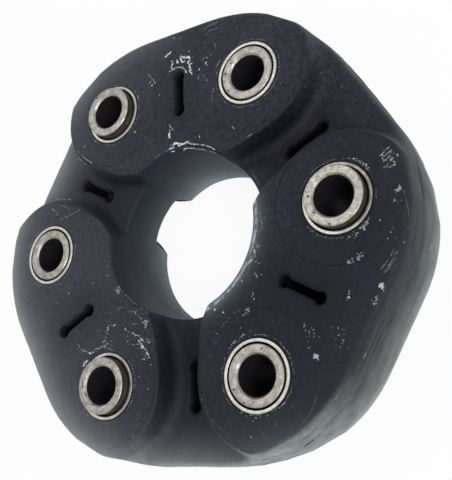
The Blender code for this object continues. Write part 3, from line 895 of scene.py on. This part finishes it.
class Flakes:
    """The points and faces of all the flakes that lie on one piece."""

    def __init__(self, skin):
        self.skin, self.points, self.faces, self.paleness = skin, [], [], []

    def lay(self, centre, along, length, width, tone):
        """A low six-sided chip, its foot just under the skin and its peak just above it."""
        found = self.skin.find_nearest(centre)
        across = found[1].cross(along).normalized()
        first = len(self.points)
        for corner in range(6):
            turn = math.pi / 3 * corner + chance.uniform(-0.35, 0.35)
            uneven = chance.uniform(0.7, 1.25)
            spot = centre + (along * (length / 2 * math.cos(turn)) + across * (width / 2 * math.sin(turn))) * uneven
            foot = self.skin.find_nearest(spot)
            self.points.append(foot[0] - foot[1] * 0.00002)
        self.points.append(found[0] + found[1] * chance.uniform(0.00003, 0.00008))
        self.paleness.extend([max(0.0, min(1.0, tone * chance.uniform(0.7, 1.25)))] * 7)
        for corner in range(6):
            self.faces.append((first + corner, first + (corner + 1) % 6, first + 6))
        self.faces.append(tuple(first + corner for corner in range(5, -1, -1)))

    def path(self, width, tone, path, crumbly=False):
        """Flakes end to end, or loose crumbs, along a path of pixels. One pixel makes a small heap."""
        spots = [place_at(self.skin, *(float(value) for value in pair.split(","))) for pair in path.split()]
        spots = [spot for spot in spots if spot]
        if len(spots) == 1:
            self.heap(spots[0], width * 0.45, 4, width * 0.8, tone)
        for start, end in zip(spots, spots[1:]):
            along = (end - start).normalized()
            steps = max(1, round((end - start).length / FLAKE_SPACING))
            for step in range(steps):
                spot = start.lerp(end, (step + 0.5) / steps)
                thickness = 0.5 + noise.noise(spot * 700) + 0.35 * chance.random()
                if thickness < (0.50 if crumbly else 0.25):
                    continue
                stray = width * (0.55 if crumbly else 0.15)
                aside = Vector((chance.uniform(-1, 1), chance.uniform(-1, 1), 0)) * stray
                length = width * chance.uniform(0.7, 1.5) if crumbly else FLAKE_LENGTH * chance.uniform(0.7, 1.4)
                self.lay(spot + aside, along, length, width * min(1.1, thickness), tone * chance.uniform(0.8, 1.15))
                if chance.random() < 0.12 * tone:
                    self.heap(spot, width * 1.5, 1, width * 0.5, tone * 0.7)

    def ring(self, centre, radius, share, tone):
        """A broken ring of crumbs, left of the flash round a bush."""
        for step in range(CRUMBS_IN_RING):
            turn = 2 * math.pi * (step + chance.random()) / CRUMBS_IN_RING
            spot = centre + around(turn, radius + chance.uniform(-0.00025, 0.00025))
            if 0.5 + noise.noise(spot * 260) + 0.6 * noise.noise(spot * 900) > share:
                continue
            self.lay(spot, around(turn + math.pi / 2, 1), chance.uniform(0.0003, 0.0008),
                     chance.uniform(0.0002, 0.00042), tone * chance.uniform(0.6, 1.3))

    def heap(self, centre, spread, count, width, tone):
        for _ in range(count):
            turn, out = chance.uniform(0, 2 * math.pi), spread * math.sqrt(chance.random())
            along = Vector((math.cos(turn * 3), math.sin(turn * 3), 0))
            size = width * (0.35 + 1.3 * chance.random() ** 2)
            self.lay(centre + Vector((math.cos(turn) * out, math.sin(turn) * out, 0)), along,
                     size * chance.uniform(1.0, 1.9), size * chance.uniform(0.6, 1.0), tone)

    def piece(self, name):
        mesh = bpy.data.meshes.new(name)
        mesh.from_pydata(self.points, [], self.faces)
        mesh.attributes.new("paleness", 'FLOAT', 'POINT').data.foreach_set("value", self.paleness)
        made = bpy.data.objects.new(name, mesh)
        bpy.context.scene.collection.objects.link(made)
        print(name, "has", len(self.paleness) // 7, "flakes")
        return made


rubber_flakes = Flakes(rubber_skin)

# %% [markdown]
# The marks were read off group by group. Each has its width in millimetres, its paleness and its
# path in pixels, and a bar parts it from the next one. Those of no paleness are nicks, not scuffs.

# %% Scuffs and painted highlights round bushes 1 and 2
# Painted highlights: the thin 0.45 mm lines round bush 2 and the last two marks, a double arc round bush 1, lie on
# the lit side of the grooves.
SCUFFS_AND_HIGHLIGHTS_ROUND_BUSH_1 = """
0.8 1 165.3,57.3 168,54.5 170.7,52 | 1.1 1 172,60.7 172,61.5 |
0.8 1 173.7,63 171.6,65.5 171.2,67.2 173,68.3 |
0.7 0.72 169.3,71.7 171.4,70.2 173.7,69 176,67.6 179,67.2 183,67.7 | 0.8 0.85 183,67.7 185,70.3 186.7,73 |
1.3 0.88 176.2,59.3 177.4,61.4 178,62.6 | 0.9 1 180.6,58.4 182,62 183.4,62 185.7,60.3 |
0.9 0.9 181,55.7 183,57.4 186.4,58.2 | 1.3 1 184.5,57.4 187.7,57 190.3,58.2 |
0.9 1 190.3,58.2 189.4,61 187.6,63 | 0.8 1 192,63.2 189.6,64.4 189.4,67.4 191.6,70.4 |
0.9 0.95 188.8,70 191,72.6 191.7,74.4 | 0.6 0.55 148.3,75 151.7,78.3 155,83 | 1.3 0.66 151.5,85 152.3,86 |
0.6 0.5 149,83.7 151,81 | 0.7 1 147.5,94.9 147.5,96 | 0.7 1 159.3,94.6 159.3,95.6 | 0.5 0.55 171.7,96.3 |
0.6 0.62 207.7,51.7 205.6,55 203.3,59 | 1 0.6 207,57.2 207.4,58.2 | 0.7 0.7 202.3,60.7 |
0.7 0.85 206.3,61.7 205.3,64.3 | 0.7 0.75 199.3,68.6 199.2,71 | 0.5 0.42 198.3,75 198.3,79 |
0.5 0.5 200.3,73.7 203.7,75.7 207.7,81 | 0.45 0.43 203,30 208,26 213,24 218,22 |
0.45 0.38 205,35 211,30 218,28 | 0.45 0.43 203,60 208,52 | 0.45 0.49 205,62 207,65 |
0.45 0.43 214,42 216,48 | 0.45 0.43 215,70 220,60 | 0.45 0.49 213,88 213,92 | 0.45 0.43 212,95 212,102 |
0.45 0.43 180,40 182,33 | 0.7 0.6 174,38 | 0.7 0.6 138,95 138,99 | 0.7 0.6 135,132 | 0.7 0.6 96,141 |
0.7 0.6 85,146 | 0.7 0.6 76,152 79,158 86,165 | 0.6 0.49 78,151 84,158 92,163"""

# %% Scuffs and a painted highlight at the bore
# Painted highlight: the last mark, a thin line along the bore's lower left edge.
SCUFFS_AND_HIGHLIGHTS_AT_BORE = """
0.9 1 169.2,138 169.2,134 170.3,129.6 | 0.7 0.55 170.2,128 169.9,124.8 | 0.5 0.45 171,127 173.3,130.5 |
0.6 0.95 199.3,136 199.6,137.6 | 0.9 0.95 169,149.8 170.8,147.6 | 1.4 1 170,151.9 172,151.6 174.2,151.5 |
1.2 0.92 170.8,145.3 173.3,144.3 176,143.4 180,143.9 183.3,144 | 1 1 178.3,146 181.7,144.6 |
1.3 1 183.3,144 185.6,142.6 187.2,141.6 | 0.6 0.7 187,142 188.9,140.3 |
0.8 0.72 187,142.4 191.7,143.8 195,144.2 199.4,144.4 203.9,145.3 208.3,146.4 212.2,148.3 215,150 |
0.6 0 186,145.6 193.9,145.8 199.4,146.4 203.9,147 208.3,147.8 213.9,150 220,152.8 |
1.8 0 177.5,147.4 177.9,150 |
0.9 1 183.9,149.8 185.6,148.6 187.2,148.1 190.6,148.4 193.9,148.3 197.2,149.2 201.1,149.2 205,150 |
0.9 0.8 205,150 209.4,151.1 213.3,152.2 217.8,154.4 | 0.6 0.55 217.8,154.4 222,157.5 227,161.5 |
0.7 0.75 183.6,151.4 184.6,150 | 0.45 0.38 155,158 162,153 170,149 | 0.6 0.49 232,126 234,129 |
0.6 0.43 247,137 252,134 | 0.6 0.43 259,210 261,220 262,228 | 0.6 0.43 256,207 257,215 256,222 256,235 |
0.88 0.72 251,243 253,247 | 0.88 0.78 254,249 255,256 253,258 |
0.75 0.55 252,257 248,262 244,268 240,273 | 0.88 0.66 247,265 252,260 | 0.6 0.55 246,268 242,272 237,278 |
0.7 0.6 255,262 | 0.6 0.55 259,263 | 0.6 0.49 255,272 257,277 | 0.6 0.55 261,275 |
0.7 0.66 252,296 253,293 | 0.45 0.55 254,299 | 1.05 0.6 167,300 172,306 178,312 184,317 |
0.6 0.43 210,305 212,303 216,300 220,296 | 0.6 0.43 226,287 234,283 240,280 | 0.6 0.49 240,278 |
0.6 0.49 242,281 | 0.45 0.38 117,285 125,294 136,304 148,313"""

# %% Scuffs and strokes round bush 3
SCUFFS_ROUND_BUSH_3 = """
0.7 0.66 388,158 392,160 | 0.88 0.68 387,164 391,166 | 0.7 0.6 394,162 | 0.9 0.55 397.5,187 398.5,190 |
0.7 0.6 380,220 | 0.7 0.6 391,232 | 0.7 0.6 388,238 | 0.6 0.55 393,228 | 0.7 0.6 404,242 |
0.7 0.6 410,232 410,240 | 0.7 0.6 429,250 432,245 | 1.05 0.78 350,262 353,262 |
0.88 0.66 357,258 362,255 | 0.88 0.72 381,290 386,286 | 0.88 0.72 374,305 378,296 |
0.88 0.72 347,301 350,291 | 0.88 0.72 348,158 356,159 365,165 369,171 372,178 | 0.88 0.6 348,238 358,233 |
0.88 0.6 360,229 368,222"""
STROKES_BY_BUSH_3 = """
0.4 0.55 379.5,156 384,151.5 389,147 | 0.4 0.6 384,156.5 388,152.5 391.5,150 |
0.4 0.55 383,161.5 388,158 391,154.5 | 0.4 0.5 384,167.5 389,163.5 393.5,157.5 |
0.4 0.45 388,169.5 392.5,166 395.5,162 | 0.4 0.45 381,269 386,263 391,255 394,250 |
0.4 0.4 388,267 393,259 396,252 | 0.3 0.4 384,273 389,268 395,259 398,251"""

# %% Scuffs and painted highlights round bush 4
# Painted highlights: the thin 0.45 mm lines at the lower left and bottom, on the lit side of the groove.
SCUFFS_AND_HIGHLIGHTS_ROUND_BUSH_4 = """
1.22 1 223,312 | 1.05 1 215,310 | 0.88 0.83 249,312 | 0.88 0.95 243.5,316 245.5,313 |
0.6 0.55 233,314 238,312 243,310 249,308 | 0.6 0.49 222,327 224,323 228,320 230,317 |
0.7 0.66 214,333 215,331 | 0.7 0.66 217,333 | 0.6 0.49 241,328 | 0.7 0.6 304,326 | 0.7 0.6 306,337 |
0.7 0.6 309,332 | 0.7 0.6 309,348 | 0.7 0.6 314,333 | 0.7 0.6 332,328 | 0.7 0.6 336,339 |
0.7 0.6 344,340 | 1.22 0.72 312,359 315,355 318,358 | 0.45 0.55 260,430 268,440 |
0.45 0.55 274,420 277,430 | 0.45 0.55 292,432 | 0.45 0.49 212,420 225,435 240,450 |
0.45 0.49 200,395 215,430 232,452 | 0.88 0.72 229,350 233,343 240,337 247,333 254,331 |
0.88 0.66 240,410 247,414 255,416 270,412 283,404"""

# %% Scuffs round bush 5
SCUFFS_ROUND_BUSH_5 = """
0.7 0.75 78.3,345.6 81.1,348.9 83.9,351.1 87.8,352.8 93.3,352.8 96.7,352.2 |
0.7 0.8 94.4,350 98.9,348.3 102.8,346.1 104.4,340 106.7,335.6 107.8,328.9 109.4,325.6 112.2,325 116.7,325.6 |
0.7 0.7 123.9,328.9 125.6,331.1 127.8,329.4 124.6,328.4 |
0.7 0.8 128.9,330.6 133.3,333.3 136.7,335.6 139.4,336.7 | 0.8 0.78 139.4,336.7 141.7,339.4 144.4,343.3 |
0.9 0.85 139.4,340 141.1,344.4 142.2,346.7 145,350 146.7,352.8 |
0.8 0.75 146.7,352.8 148.9,355.6 150,360 | 0.7 0.75 141.7,358.3 145.6,358.9 | 0.6 0.7 98.9,330.6 |
0.6 0.65 127.8,336.7 | 0.7 0.8 127.8,341.7 | 0.6 0.6 131.1,345 135.6,344.4 |
0.6 0.65 131.1,325 137.8,322.8 | 0.8 0.8 144.4,320.6 146.4,323.4 145.8,327.6 |
0.7 0.5 133.9,310.6 136.7,314.4 141.1,317.8 143.3,321.1 | 1.1 0.95 83.6,367 86.4,361.4 90.6,355.6 |
0.6 0.55 135,386.7 132.4,390 | 0.6 0.4 131.1,370 132.8,376.7 | 0.6 0.55 138.9,377.2 |
0.6 0.45 147.8,388.9 | 0.6 0.5 148.3,404.4 147.5,402.6 | 0.7 0.62 150.9,364.4 | 0.7 0.55 117,287 119,294 |
0.7 0.6 107,275 | 0.7 0.6 94,283 | 0.7 0.5 69,294 | 0.5 0.42 120,307 130,311 137,312 |
0.5 0.4 130,425 138,417 140,410 | 0.5 0.45 130,440 117,450 | 0.6 0.45 133,437 | 0.6 0.45 157,437 |
0.6 0.55 179,451 | 0.6 0.5 134,380 134,388 | 0.6 0.55 38,354 | 0.6 0.5 156,460"""

# %% Streaks and painted highlights on the outer wall, and scuffs round bush 6
# The pale lines along the rim at the lower right are partly wear and partly a painted highlight of the rim.
SCUFFS_AND_HIGHLIGHTS_ON_WALL = """
0.5 0 396,312 388,326 380,337 372,356 365,377 355,395 350,401 341,412 333,420 |
0.7 0 333,420 327,427 320,434 310,443 303,448 | 0.5 0.38 261,461 280,450 295,440 312,425 |
0.5 0.34 312,425 330,407 342,390 355,372 | 0.4 0.32 270,462 290,454 306,443 322,428 338,409 350,393 |
0.4 0.3 275,457 296,445 314,430 331,411 | 0.6 0.45 344,409 338,416 | 0.4 0.28 355,372 366,352 378,325 |
0.4 0.3 318,444 332,432 346,416 356,402 | 0.6 0.5 429,250 433,244 | 0.4 0.25 404,190 409,215 411,240 |
0.4 0.3 398,140 404,150 410,165"""
SCUFFS_ROUND_BUSH_6 = """
0.88 0.66 57,199 68,199 72,200 | 0.6 0.55 60,204 66,207 70,209 | 0.7 0.6 53,209 58,215 |
0.6 0.55 60,220 70,215 80,210 | 0.7 0.6 93,283 | 0.7 0.6 108,276 | 0.7 0.6 69,293 | 0.7 0.6 58,303 |
0.7 0.6 88,248 | 0.7 0.6 119,309 | 0.7 0.6 122,308 | 1.05 0.66 118,290 118,293 | 0.7 0.6 133,303 |
0.7 0.6 137,310 | 0.7 0.6 140,318"""

# %% Lay the scuffs, painted highlights and the flash
def marks_in(group):
    """Width in metres, paleness and path of each mark in a group."""
    for mark in group.split("|"):
        width, tone, path = mark.split(None, 2)
        yield float(width) / 1000, float(tone), path


# How much narrower and fainter than read off each group is laid, and whether it is crumbly.
GROUPS = [(SCUFFS_AND_HIGHLIGHTS_ROUND_BUSH_1, 1.0, 1.0, False), (SCUFFS_AND_HIGHLIGHTS_AT_BORE, 1.0, 1.0, False),
          (SCUFFS_ROUND_BUSH_3, 0.75, 0.80, True), (SCUFFS_AND_HIGHLIGHTS_ROUND_BUSH_4, 0.70, 0.80, True),
          (SCUFFS_ROUND_BUSH_5, 0.85, 0.95, True), (SCUFFS_ROUND_BUSH_6, 0.75, 0.80, False),
          (STROKES_BY_BUSH_3, 1.0, 1.0, False), (SCUFFS_AND_HIGHLIGHTS_ON_WALL, 1.0, 1.0, False)]
for group, thinner, fainter, crumbly in GROUPS:
    for width, tone, path in marks_in(group):
        rubber_flakes.path(width * thinner, tone * fainter, path, crumbly)
FLASH_RADIUS = 0.0116
FLASH_SHARE = [0.36, 0.46, 0.40, 0.52, 0.52, 0.42]
for centre, share in zip(bushes, FLASH_SHARE):
    rubber_flakes.ring(Vector((centre.x, centre.y, FACE_Z)), FLASH_RADIUS, share, 0.42)
print(len(rubber_flakes.paleness) // 7, "flakes so far")

# %% [markdown]
# Elsewhere the chips lie in loose heaps. Each heap has its place in the photograph, its spread in
# millimetres, how many chips it has, their width in millimetres and their paleness.

# %% Heap up the chips
HEAPS = """
185,60 3.4 10 0.6 0.6 | 108.5,345 1.8 22 0.6 0.7 | 145.5,323 1.1 12 0.6 0.7 | 210,29 3.6 12 0.6 0.42 |
213,45 2.8 9 0.5 0.42 | 206,58 2.8 8 0.5 0.48 | 390,160 2.6 20 0.7 0.62 | 386,152 2 7 0.7 0.55 |
398,189 0.9 6 1.3 0.7 | 398,200 1.6 5 0.7 0.38 | 383,287 1 6 1.6 0.85 | 376,300 1.5 7 1 0.62 |
364,224 1.3 7 1.2 0.72 | 352,236 1.8 7 0.8 0.62 | 351,262 1 5 1.1 0.62 | 360,256 1.2 6 0.9 0.62 |
406,237 2.8 7 0.5 0.45 | 306,333 3 9 0.6 0.58 | 314,340 2.2 6 0.6 0.52 | 338,338 2.8 9 0.6 0.58 |
316,357 0.9 5 1.4 0.8 | 247,312 1 4 0.9 0.7 | 143,345 2.6 18 0.6 0.6 | 118,290 1.2 6 1 0.55 |
66,207 4 10 0.5 0.4 | 262,440 7 22 0.5 0.42 | 225,440 7 12 0.5 0.38 | 257,222 3.4 40 0.6 0.42 |
253,250 2.6 30 0.6 0.5 | 245,268 2.4 20 0.6 0.45 | 173,149 1 4 1 0.9 | 365,355 0.9 4 1 0.75 |
350,400 1 4 0.9 0.65 | 362,411 1.2 4 0.8 0.5 | 341,412 0.7 4 1.2 0 | 327,427 0.8 5 1.2 0 |
310,443 1 6 1.5 0"""
for heap in HEAPS.split("|"):
    place, spread, count, width, tone = heap.split()
    centre = place_at(rubber_skin, *(float(value) for value in place.split(",")))
    if centre:
        rubber_flakes.heap(centre, float(spread) / 1000, int(count), float(width) / 1000 * 0.85, float(tone) * 0.85)
scuffs_and_highlights = rubber_flakes.piece("scuffs_and_highlights")

# %% Give the scuffs and painted highlights their look
scuff_and_highlight_finish, tree, shader = new_material("scuffed_and_highlighted_rubber")
tone = node(tree, 'ShaderNodeAttribute', attribute_name="paleness").outputs['Fac']
worn = noise_node(tree, node(tree, 'ShaderNodeTexCoord').outputs['Object'], 1400.0, 2.0)
tone = math_node(tree, 'MULTIPLY', tone, remap(tree, worn, 0.3, 0.6, 0.70, 1.0))
tone = math_node(tree, 'POWER', tone, 1.6)
tree.links.new(mix_colours(tree, tone, (0.006, 0.006, 0.009), (0.94, 0.94, 0.90)), shader.inputs['Base Color'])
shader.inputs['Roughness'].default_value = 0.75
shader.inputs['Specular IOR Level'].default_value = 0.2
scuffs_and_highlights.data.materials.append(scuff_and_highlight_finish)
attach(scuffs_and_highlights, "root")
print("scuffs finished")

# %% [markdown]
# ## Sleeves
# Each sleeve is a thick steel tube, turned to length, with a small chamfer inside and out. It
# takes one bolt. The profile is turned once, the edges are broken with a small bevel, and the
# copies are moved 3 mm proud in front or behind.

# %% Turn the sleeves
SLEEVE_RADIUS = 0.0090
HOLE_RADIUS = 0.00605
SLEEVE_HALF = 0.01895


def keep_bush_place(piece, centre, right_shade):
    """Store each point's place about its own bush, for the turning marks, and a painted shade on its right."""
    places, right_shades = [], []
    for vertex in piece.data.vertices:
        off = vertex.co - centre
        rightward = (0.95 * off.x + 0.30 * off.y) / math.hypot(off.x, off.y)
        places.extend(off)
        right_shades.append(right_shade * max(0.0, min(1.0, (rightward - 0.1) / 0.5)))
    piece.data.attributes.new("bush_place", 'FLOAT_VECTOR', 'POINT').data.foreach_set("vector", places)
    piece.data.attributes.new("right_shade", 'FLOAT', 'POINT').data.foreach_set("value", right_shades)


sleeve = turned("sleeve", [(SLEEVE_RADIUS - 0.0003, SLEEVE_HALF), (SLEEVE_RADIUS, SLEEVE_HALF - 0.0003),
                           (SLEEVE_RADIUS, 0.0003 - SLEEVE_HALF), (SLEEVE_RADIUS - 0.0003, -SLEEVE_HALF),
                           (HOLE_RADIUS + 0.0006, -SLEEVE_HALF), (HOLE_RADIUS, 0.0007 - SLEEVE_HALF),
                           (HOLE_RADIUS, SLEEVE_HALF - 0.0007), (HOLE_RADIUS + 0.0006, SLEEVE_HALF)], 96)
apply_modifier(sleeve, 'BEVEL', width=0.00009, segments=2, limit_method='ANGLE', angle_limit=math.radians(30))
sleeves = []
for number, centre in enumerate(bushes, start=1):
    side = 1 if number % 2 else -1
    made = copy_to(sleeve, f"bush_sleeve_{number}", centre + Vector((0, 0, side * 0.00135)))
    keep_bush_place(made, centre, 0.0)
    sleeves.append(made)
bpy.data.objects.remove(sleeve)
print(len(sleeves), "sleeves,", len(sleeves[0].data.polygons), "faces each")

# %% [markdown]
# ## Collars
# A thin flanged collar is pressed over each end of a sleeve. In front only its rim shows, a
# bright rounded edge with a dark gap to the sleeve. The flange sits in the rubber and holds the cords.

# %% Turn the collars
collar = turned("collar", [(0.0096, 0.0173), (0.0106, 0.0173), (0.0106, 0.0143), (0.0160, 0.0143),
                           (0.0160, 0.0133), (0.0106, 0.0133), (0.0106, 0.00015), (0.0093, 0.00015)], 96)
apply_modifier(collar, 'BEVEL', width=0.00018, segments=3, limit_method='ANGLE', angle_limit=math.radians(30))
collars = []
# Painted shade on each collar's right side, strongest where the sleeve stands proud.
COLLAR_RIGHT_SHADE = [0.25, 0.15, 0.85, 0.10, 0.60, 0.20]
for number, centre in enumerate(bushes, start=1):
    for side, turn in (("front", 0.0), ("back", math.pi)):
        made = copy_to(collar, f"bush_collar_{side}_{number}", centre, turn)
        keep_bush_place(made, centre, COLLAR_RIGHT_SHADE[number - 1])
        collars.append((made, f"{side}_collar_{number}"))
bpy.data.objects.remove(collar)
print(len(collars), "collars,", len(collars[0][0].data.polygons), "faces each")

# %% [markdown]
# ## Steel finish
# The steel is pale and dull, with a warm cast, fine turning marks, pits and dark specks. Faces
# that look sideways, such as the sleeve's outer side, are darkened by a painted shade, and the hole
# is a near-black painted shade. Each collar's right side gets a painted shade too. The place that
# each point keeps about its own bush tells the side from the end, and bends the marks into circles.

# %% Mix the steel
def steel_material(name, pale, shade, side_colour, side_from):
    """Pale ends with turning marks and pits. Surfaces that face sideways go to the side's colour, a painted shade."""
    material, tree, shader = new_material(name)
    place = node(tree, 'ShaderNodeAttribute', attribute_name="bush_place").outputs['Vector']
    parts = node(tree, 'ShaderNodeSeparateXYZ', {0: place})
    flat = node(tree, 'ShaderNodeCombineXYZ', {0: parts.outputs[0], 1: parts.outputs[1]}).outputs[0]
    radius = node(tree, 'ShaderNodeVectorMath', {0: flat}, operation='LENGTH').outputs['Value']
    spot = node(tree, 'ShaderNodeTexCoord')
    facing = node(tree, 'ShaderNodeSeparateXYZ', {0: spot.outputs['Normal']}).outputs[2]
    sideways = remap(tree, math_node(tree, 'ABSOLUTE', facing), 0.45, 0.15)
    stain = noise_node(tree, spot.outputs['Object'], 520.0, 4.0, 0.6)
    turned_rings = node(tree, 'ShaderNodeTexNoise', {'W': math_node(tree, 'MULTIPLY', radius, 5200.0), 'Scale': 1.0,
                                                     'Detail': 2.0}, noise_dimensions='1D').outputs['Fac']
    fine = noise_node(tree, spot.outputs['Object'], 1500.0, 3.0, 0.6)
    colour = mix_colours(tree, remap(tree, stain, 0.38, 0.68), pale, shade)
    colour = mix_colours(tree, remap(tree, fine, 0.42, 0.66, 0.0, 0.55), colour, shade)
    colour = mix_colours(tree, remap(tree, turned_rings, 0.40, 0.62, 0.0, 0.60), colour, shade)
    pits = node(tree, 'ShaderNodeTexVoronoi', {'Vector': spot.outputs['Object'], 'Scale': 700.0})
    sparse = remap(tree, noise_node(tree, spot.outputs['Object'], 420.0, 1.0), 0.52, 0.62)
    pit = math_node(tree, 'MULTIPLY', remap(tree, pits.outputs['Distance'], 0.26, 0.12), sparse)
    colour = mix_colours(tree, math_node(tree, 'MULTIPLY', pit, 0.8), colour, (0.10, 0.09, 0.07))
    # Painted shade: sideways faces go dark, and the hole nearly black.
    inside = remap(tree, radius, side_from + 0.0003, side_from)
    side = mix_colours(tree, remap(tree, stain, 0.3, 0.7), side_colour, [v * 1.8 for v in side_colour])
    side = mix_colours(tree, inside, side, (0.065, 0.058, 0.068))
    colour = mix_colours(tree, sideways, colour, side)
    # Painted shade: the collar darkens on its right side.
    right_shade = node(tree, 'ShaderNodeAttribute', attribute_name="right_shade").outputs['Fac']
    right_shade = math_node(tree, 'MULTIPLY', right_shade, remap(tree, stain, 0.30, 0.65, 0.55, 1.0))
    colour = mix_colours(tree, right_shade, colour, (0.13, 0.12, 0.085))
    tree.links.new(colour, shader.inputs['Base Color'])
    shader.inputs['Metallic'].default_value = 0.85
    tree.links.new(remap(tree, fine, 0.3, 0.7, 0.34, 0.52), shader.inputs['Roughness'])
    marks = node(tree, 'ShaderNodeTexNoise', {'W': math_node(tree, 'MULTIPLY', radius, 14000.0), 'Scale': 1.0,
                                              'Detail': 1.0}, noise_dimensions='1D').outputs['Fac']
    height = math_node(tree, 'SUBTRACT', math_node(tree, 'ADD', math_node(tree, 'MULTIPLY', marks, 0.35),
                                                   math_node(tree, 'MULTIPLY', fine, 0.5)), pit)
    bump = node(tree, 'ShaderNodeBump', {'Strength': 0.4, 'Distance': 0.0001, 'Height': height})
    tree.links.new(bump.outputs[0], shader.inputs['Normal'])
    return material


sleeve_finish = steel_material("turned_sleeve_steel", (0.52, 0.51, 0.47), (0.21, 0.205, 0.18),
                               (0.075, 0.070, 0.052), 0.0066)
collar_finish = steel_material("pressed_collar_steel", (0.66, 0.655, 0.61), (0.42, 0.41, 0.36),
                               (0.20, 0.19, 0.16), 0.0097)
for number, piece in enumerate(sleeves, start=1):
    piece.data.materials.append(sleeve_finish)
    smooth(piece, 35)
    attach(piece, "root")
    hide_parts(f"sleeve_{number}")
for piece, packed in collars:
    piece.data.materials.append(collar_finish)
    smooth(piece, 35)
    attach(piece, "root")
    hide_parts(packed)
print("steel finished")

# %% [markdown]
# ## Stains on the steel
# A few dark spots of rust and rubber stick to the sleeves' ends. They are the same thin flakes,
# laid on the sleeves along paths read off the photograph in the same way.

# %% Lay the stains
STAINS = ["100,134 104,136 108,137 112,136|96,100 98,97",
          "265.6,68 266.4,69|266,68.6 266.4,69.4|226,74|229,90|236,92|262,60|231,63",
          "313,213|330,225|308,196",
          "244,404|262,349|233,390",
          "82,382 83,388|85,393 86,397|92,404 96,406|110,362",
          "46,272 52,272|38,240"]
sleeve_stains = []
for number, spots in enumerate(STAINS, start=1):
    flakes = Flakes(skin_of(sleeves[number - 1]))
    for path in spots.split("|"):
        flakes.path(0.0009, 0.22, path)
    if flakes.points:
        sleeve_stains.append(flakes.piece(f"sleeve_stains_{number}"))
stain_finish, tree, shader = new_material("rust_and_rubber_stain")
tone = node(tree, 'ShaderNodeAttribute', attribute_name="paleness").outputs['Fac']
tree.links.new(mix_colours(tree, tone, (0.012, 0.010, 0.008), (0.16, 0.13, 0.09)), shader.inputs['Base Color'])
shader.inputs['Roughness'].default_value = 0.8
for piece in sleeve_stains:
    piece.data.materials.append(stain_finish)
    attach(piece, "root")

# %% [markdown]
# ## Cord packs
# The cords are wound round pairs of bushes deep in the rubber, where nobody sees them. Their
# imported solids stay, and get the look of wound yarn: fine turns side by side across the pack.

# %% Wind the cords
cord_finish, tree, shader = new_material("wound_cord")
spot = node(tree, 'ShaderNodeTexCoord').outputs['Object']
turns = node(tree, 'ShaderNodeTexWave', {'Vector': spot, 'Scale': 320.0, 'Distortion': 1.5, 'Detail': 2.0},
             bands_direction='Z').outputs['Fac']
yarn = noise_node(tree, spot, 1200.0, 3.0)
colour = mix_colours(tree, turns, (0.42, 0.34, 0.20), (0.66, 0.58, 0.40))
colour = mix_colours(tree, remap(tree, yarn, 0.3, 0.8, 0.0, 0.5), colour, (0.74, 0.68, 0.52))
tree.links.new(colour, shader.inputs['Base Color'])
shader.inputs['Roughness'].default_value = 0.82
bump = node(tree, 'ShaderNodeBump', {'Strength': 0.5, 'Distance': 0.0003, 'Height': turns})
tree.links.new(bump.outputs[0], shader.inputs['Normal'])
for name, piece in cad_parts.items():
    if "cord" in name:
        for material_slot in piece.material_slots:
            material_slot.material = cord_finish
print("cord packs:", [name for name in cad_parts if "cord" in name])
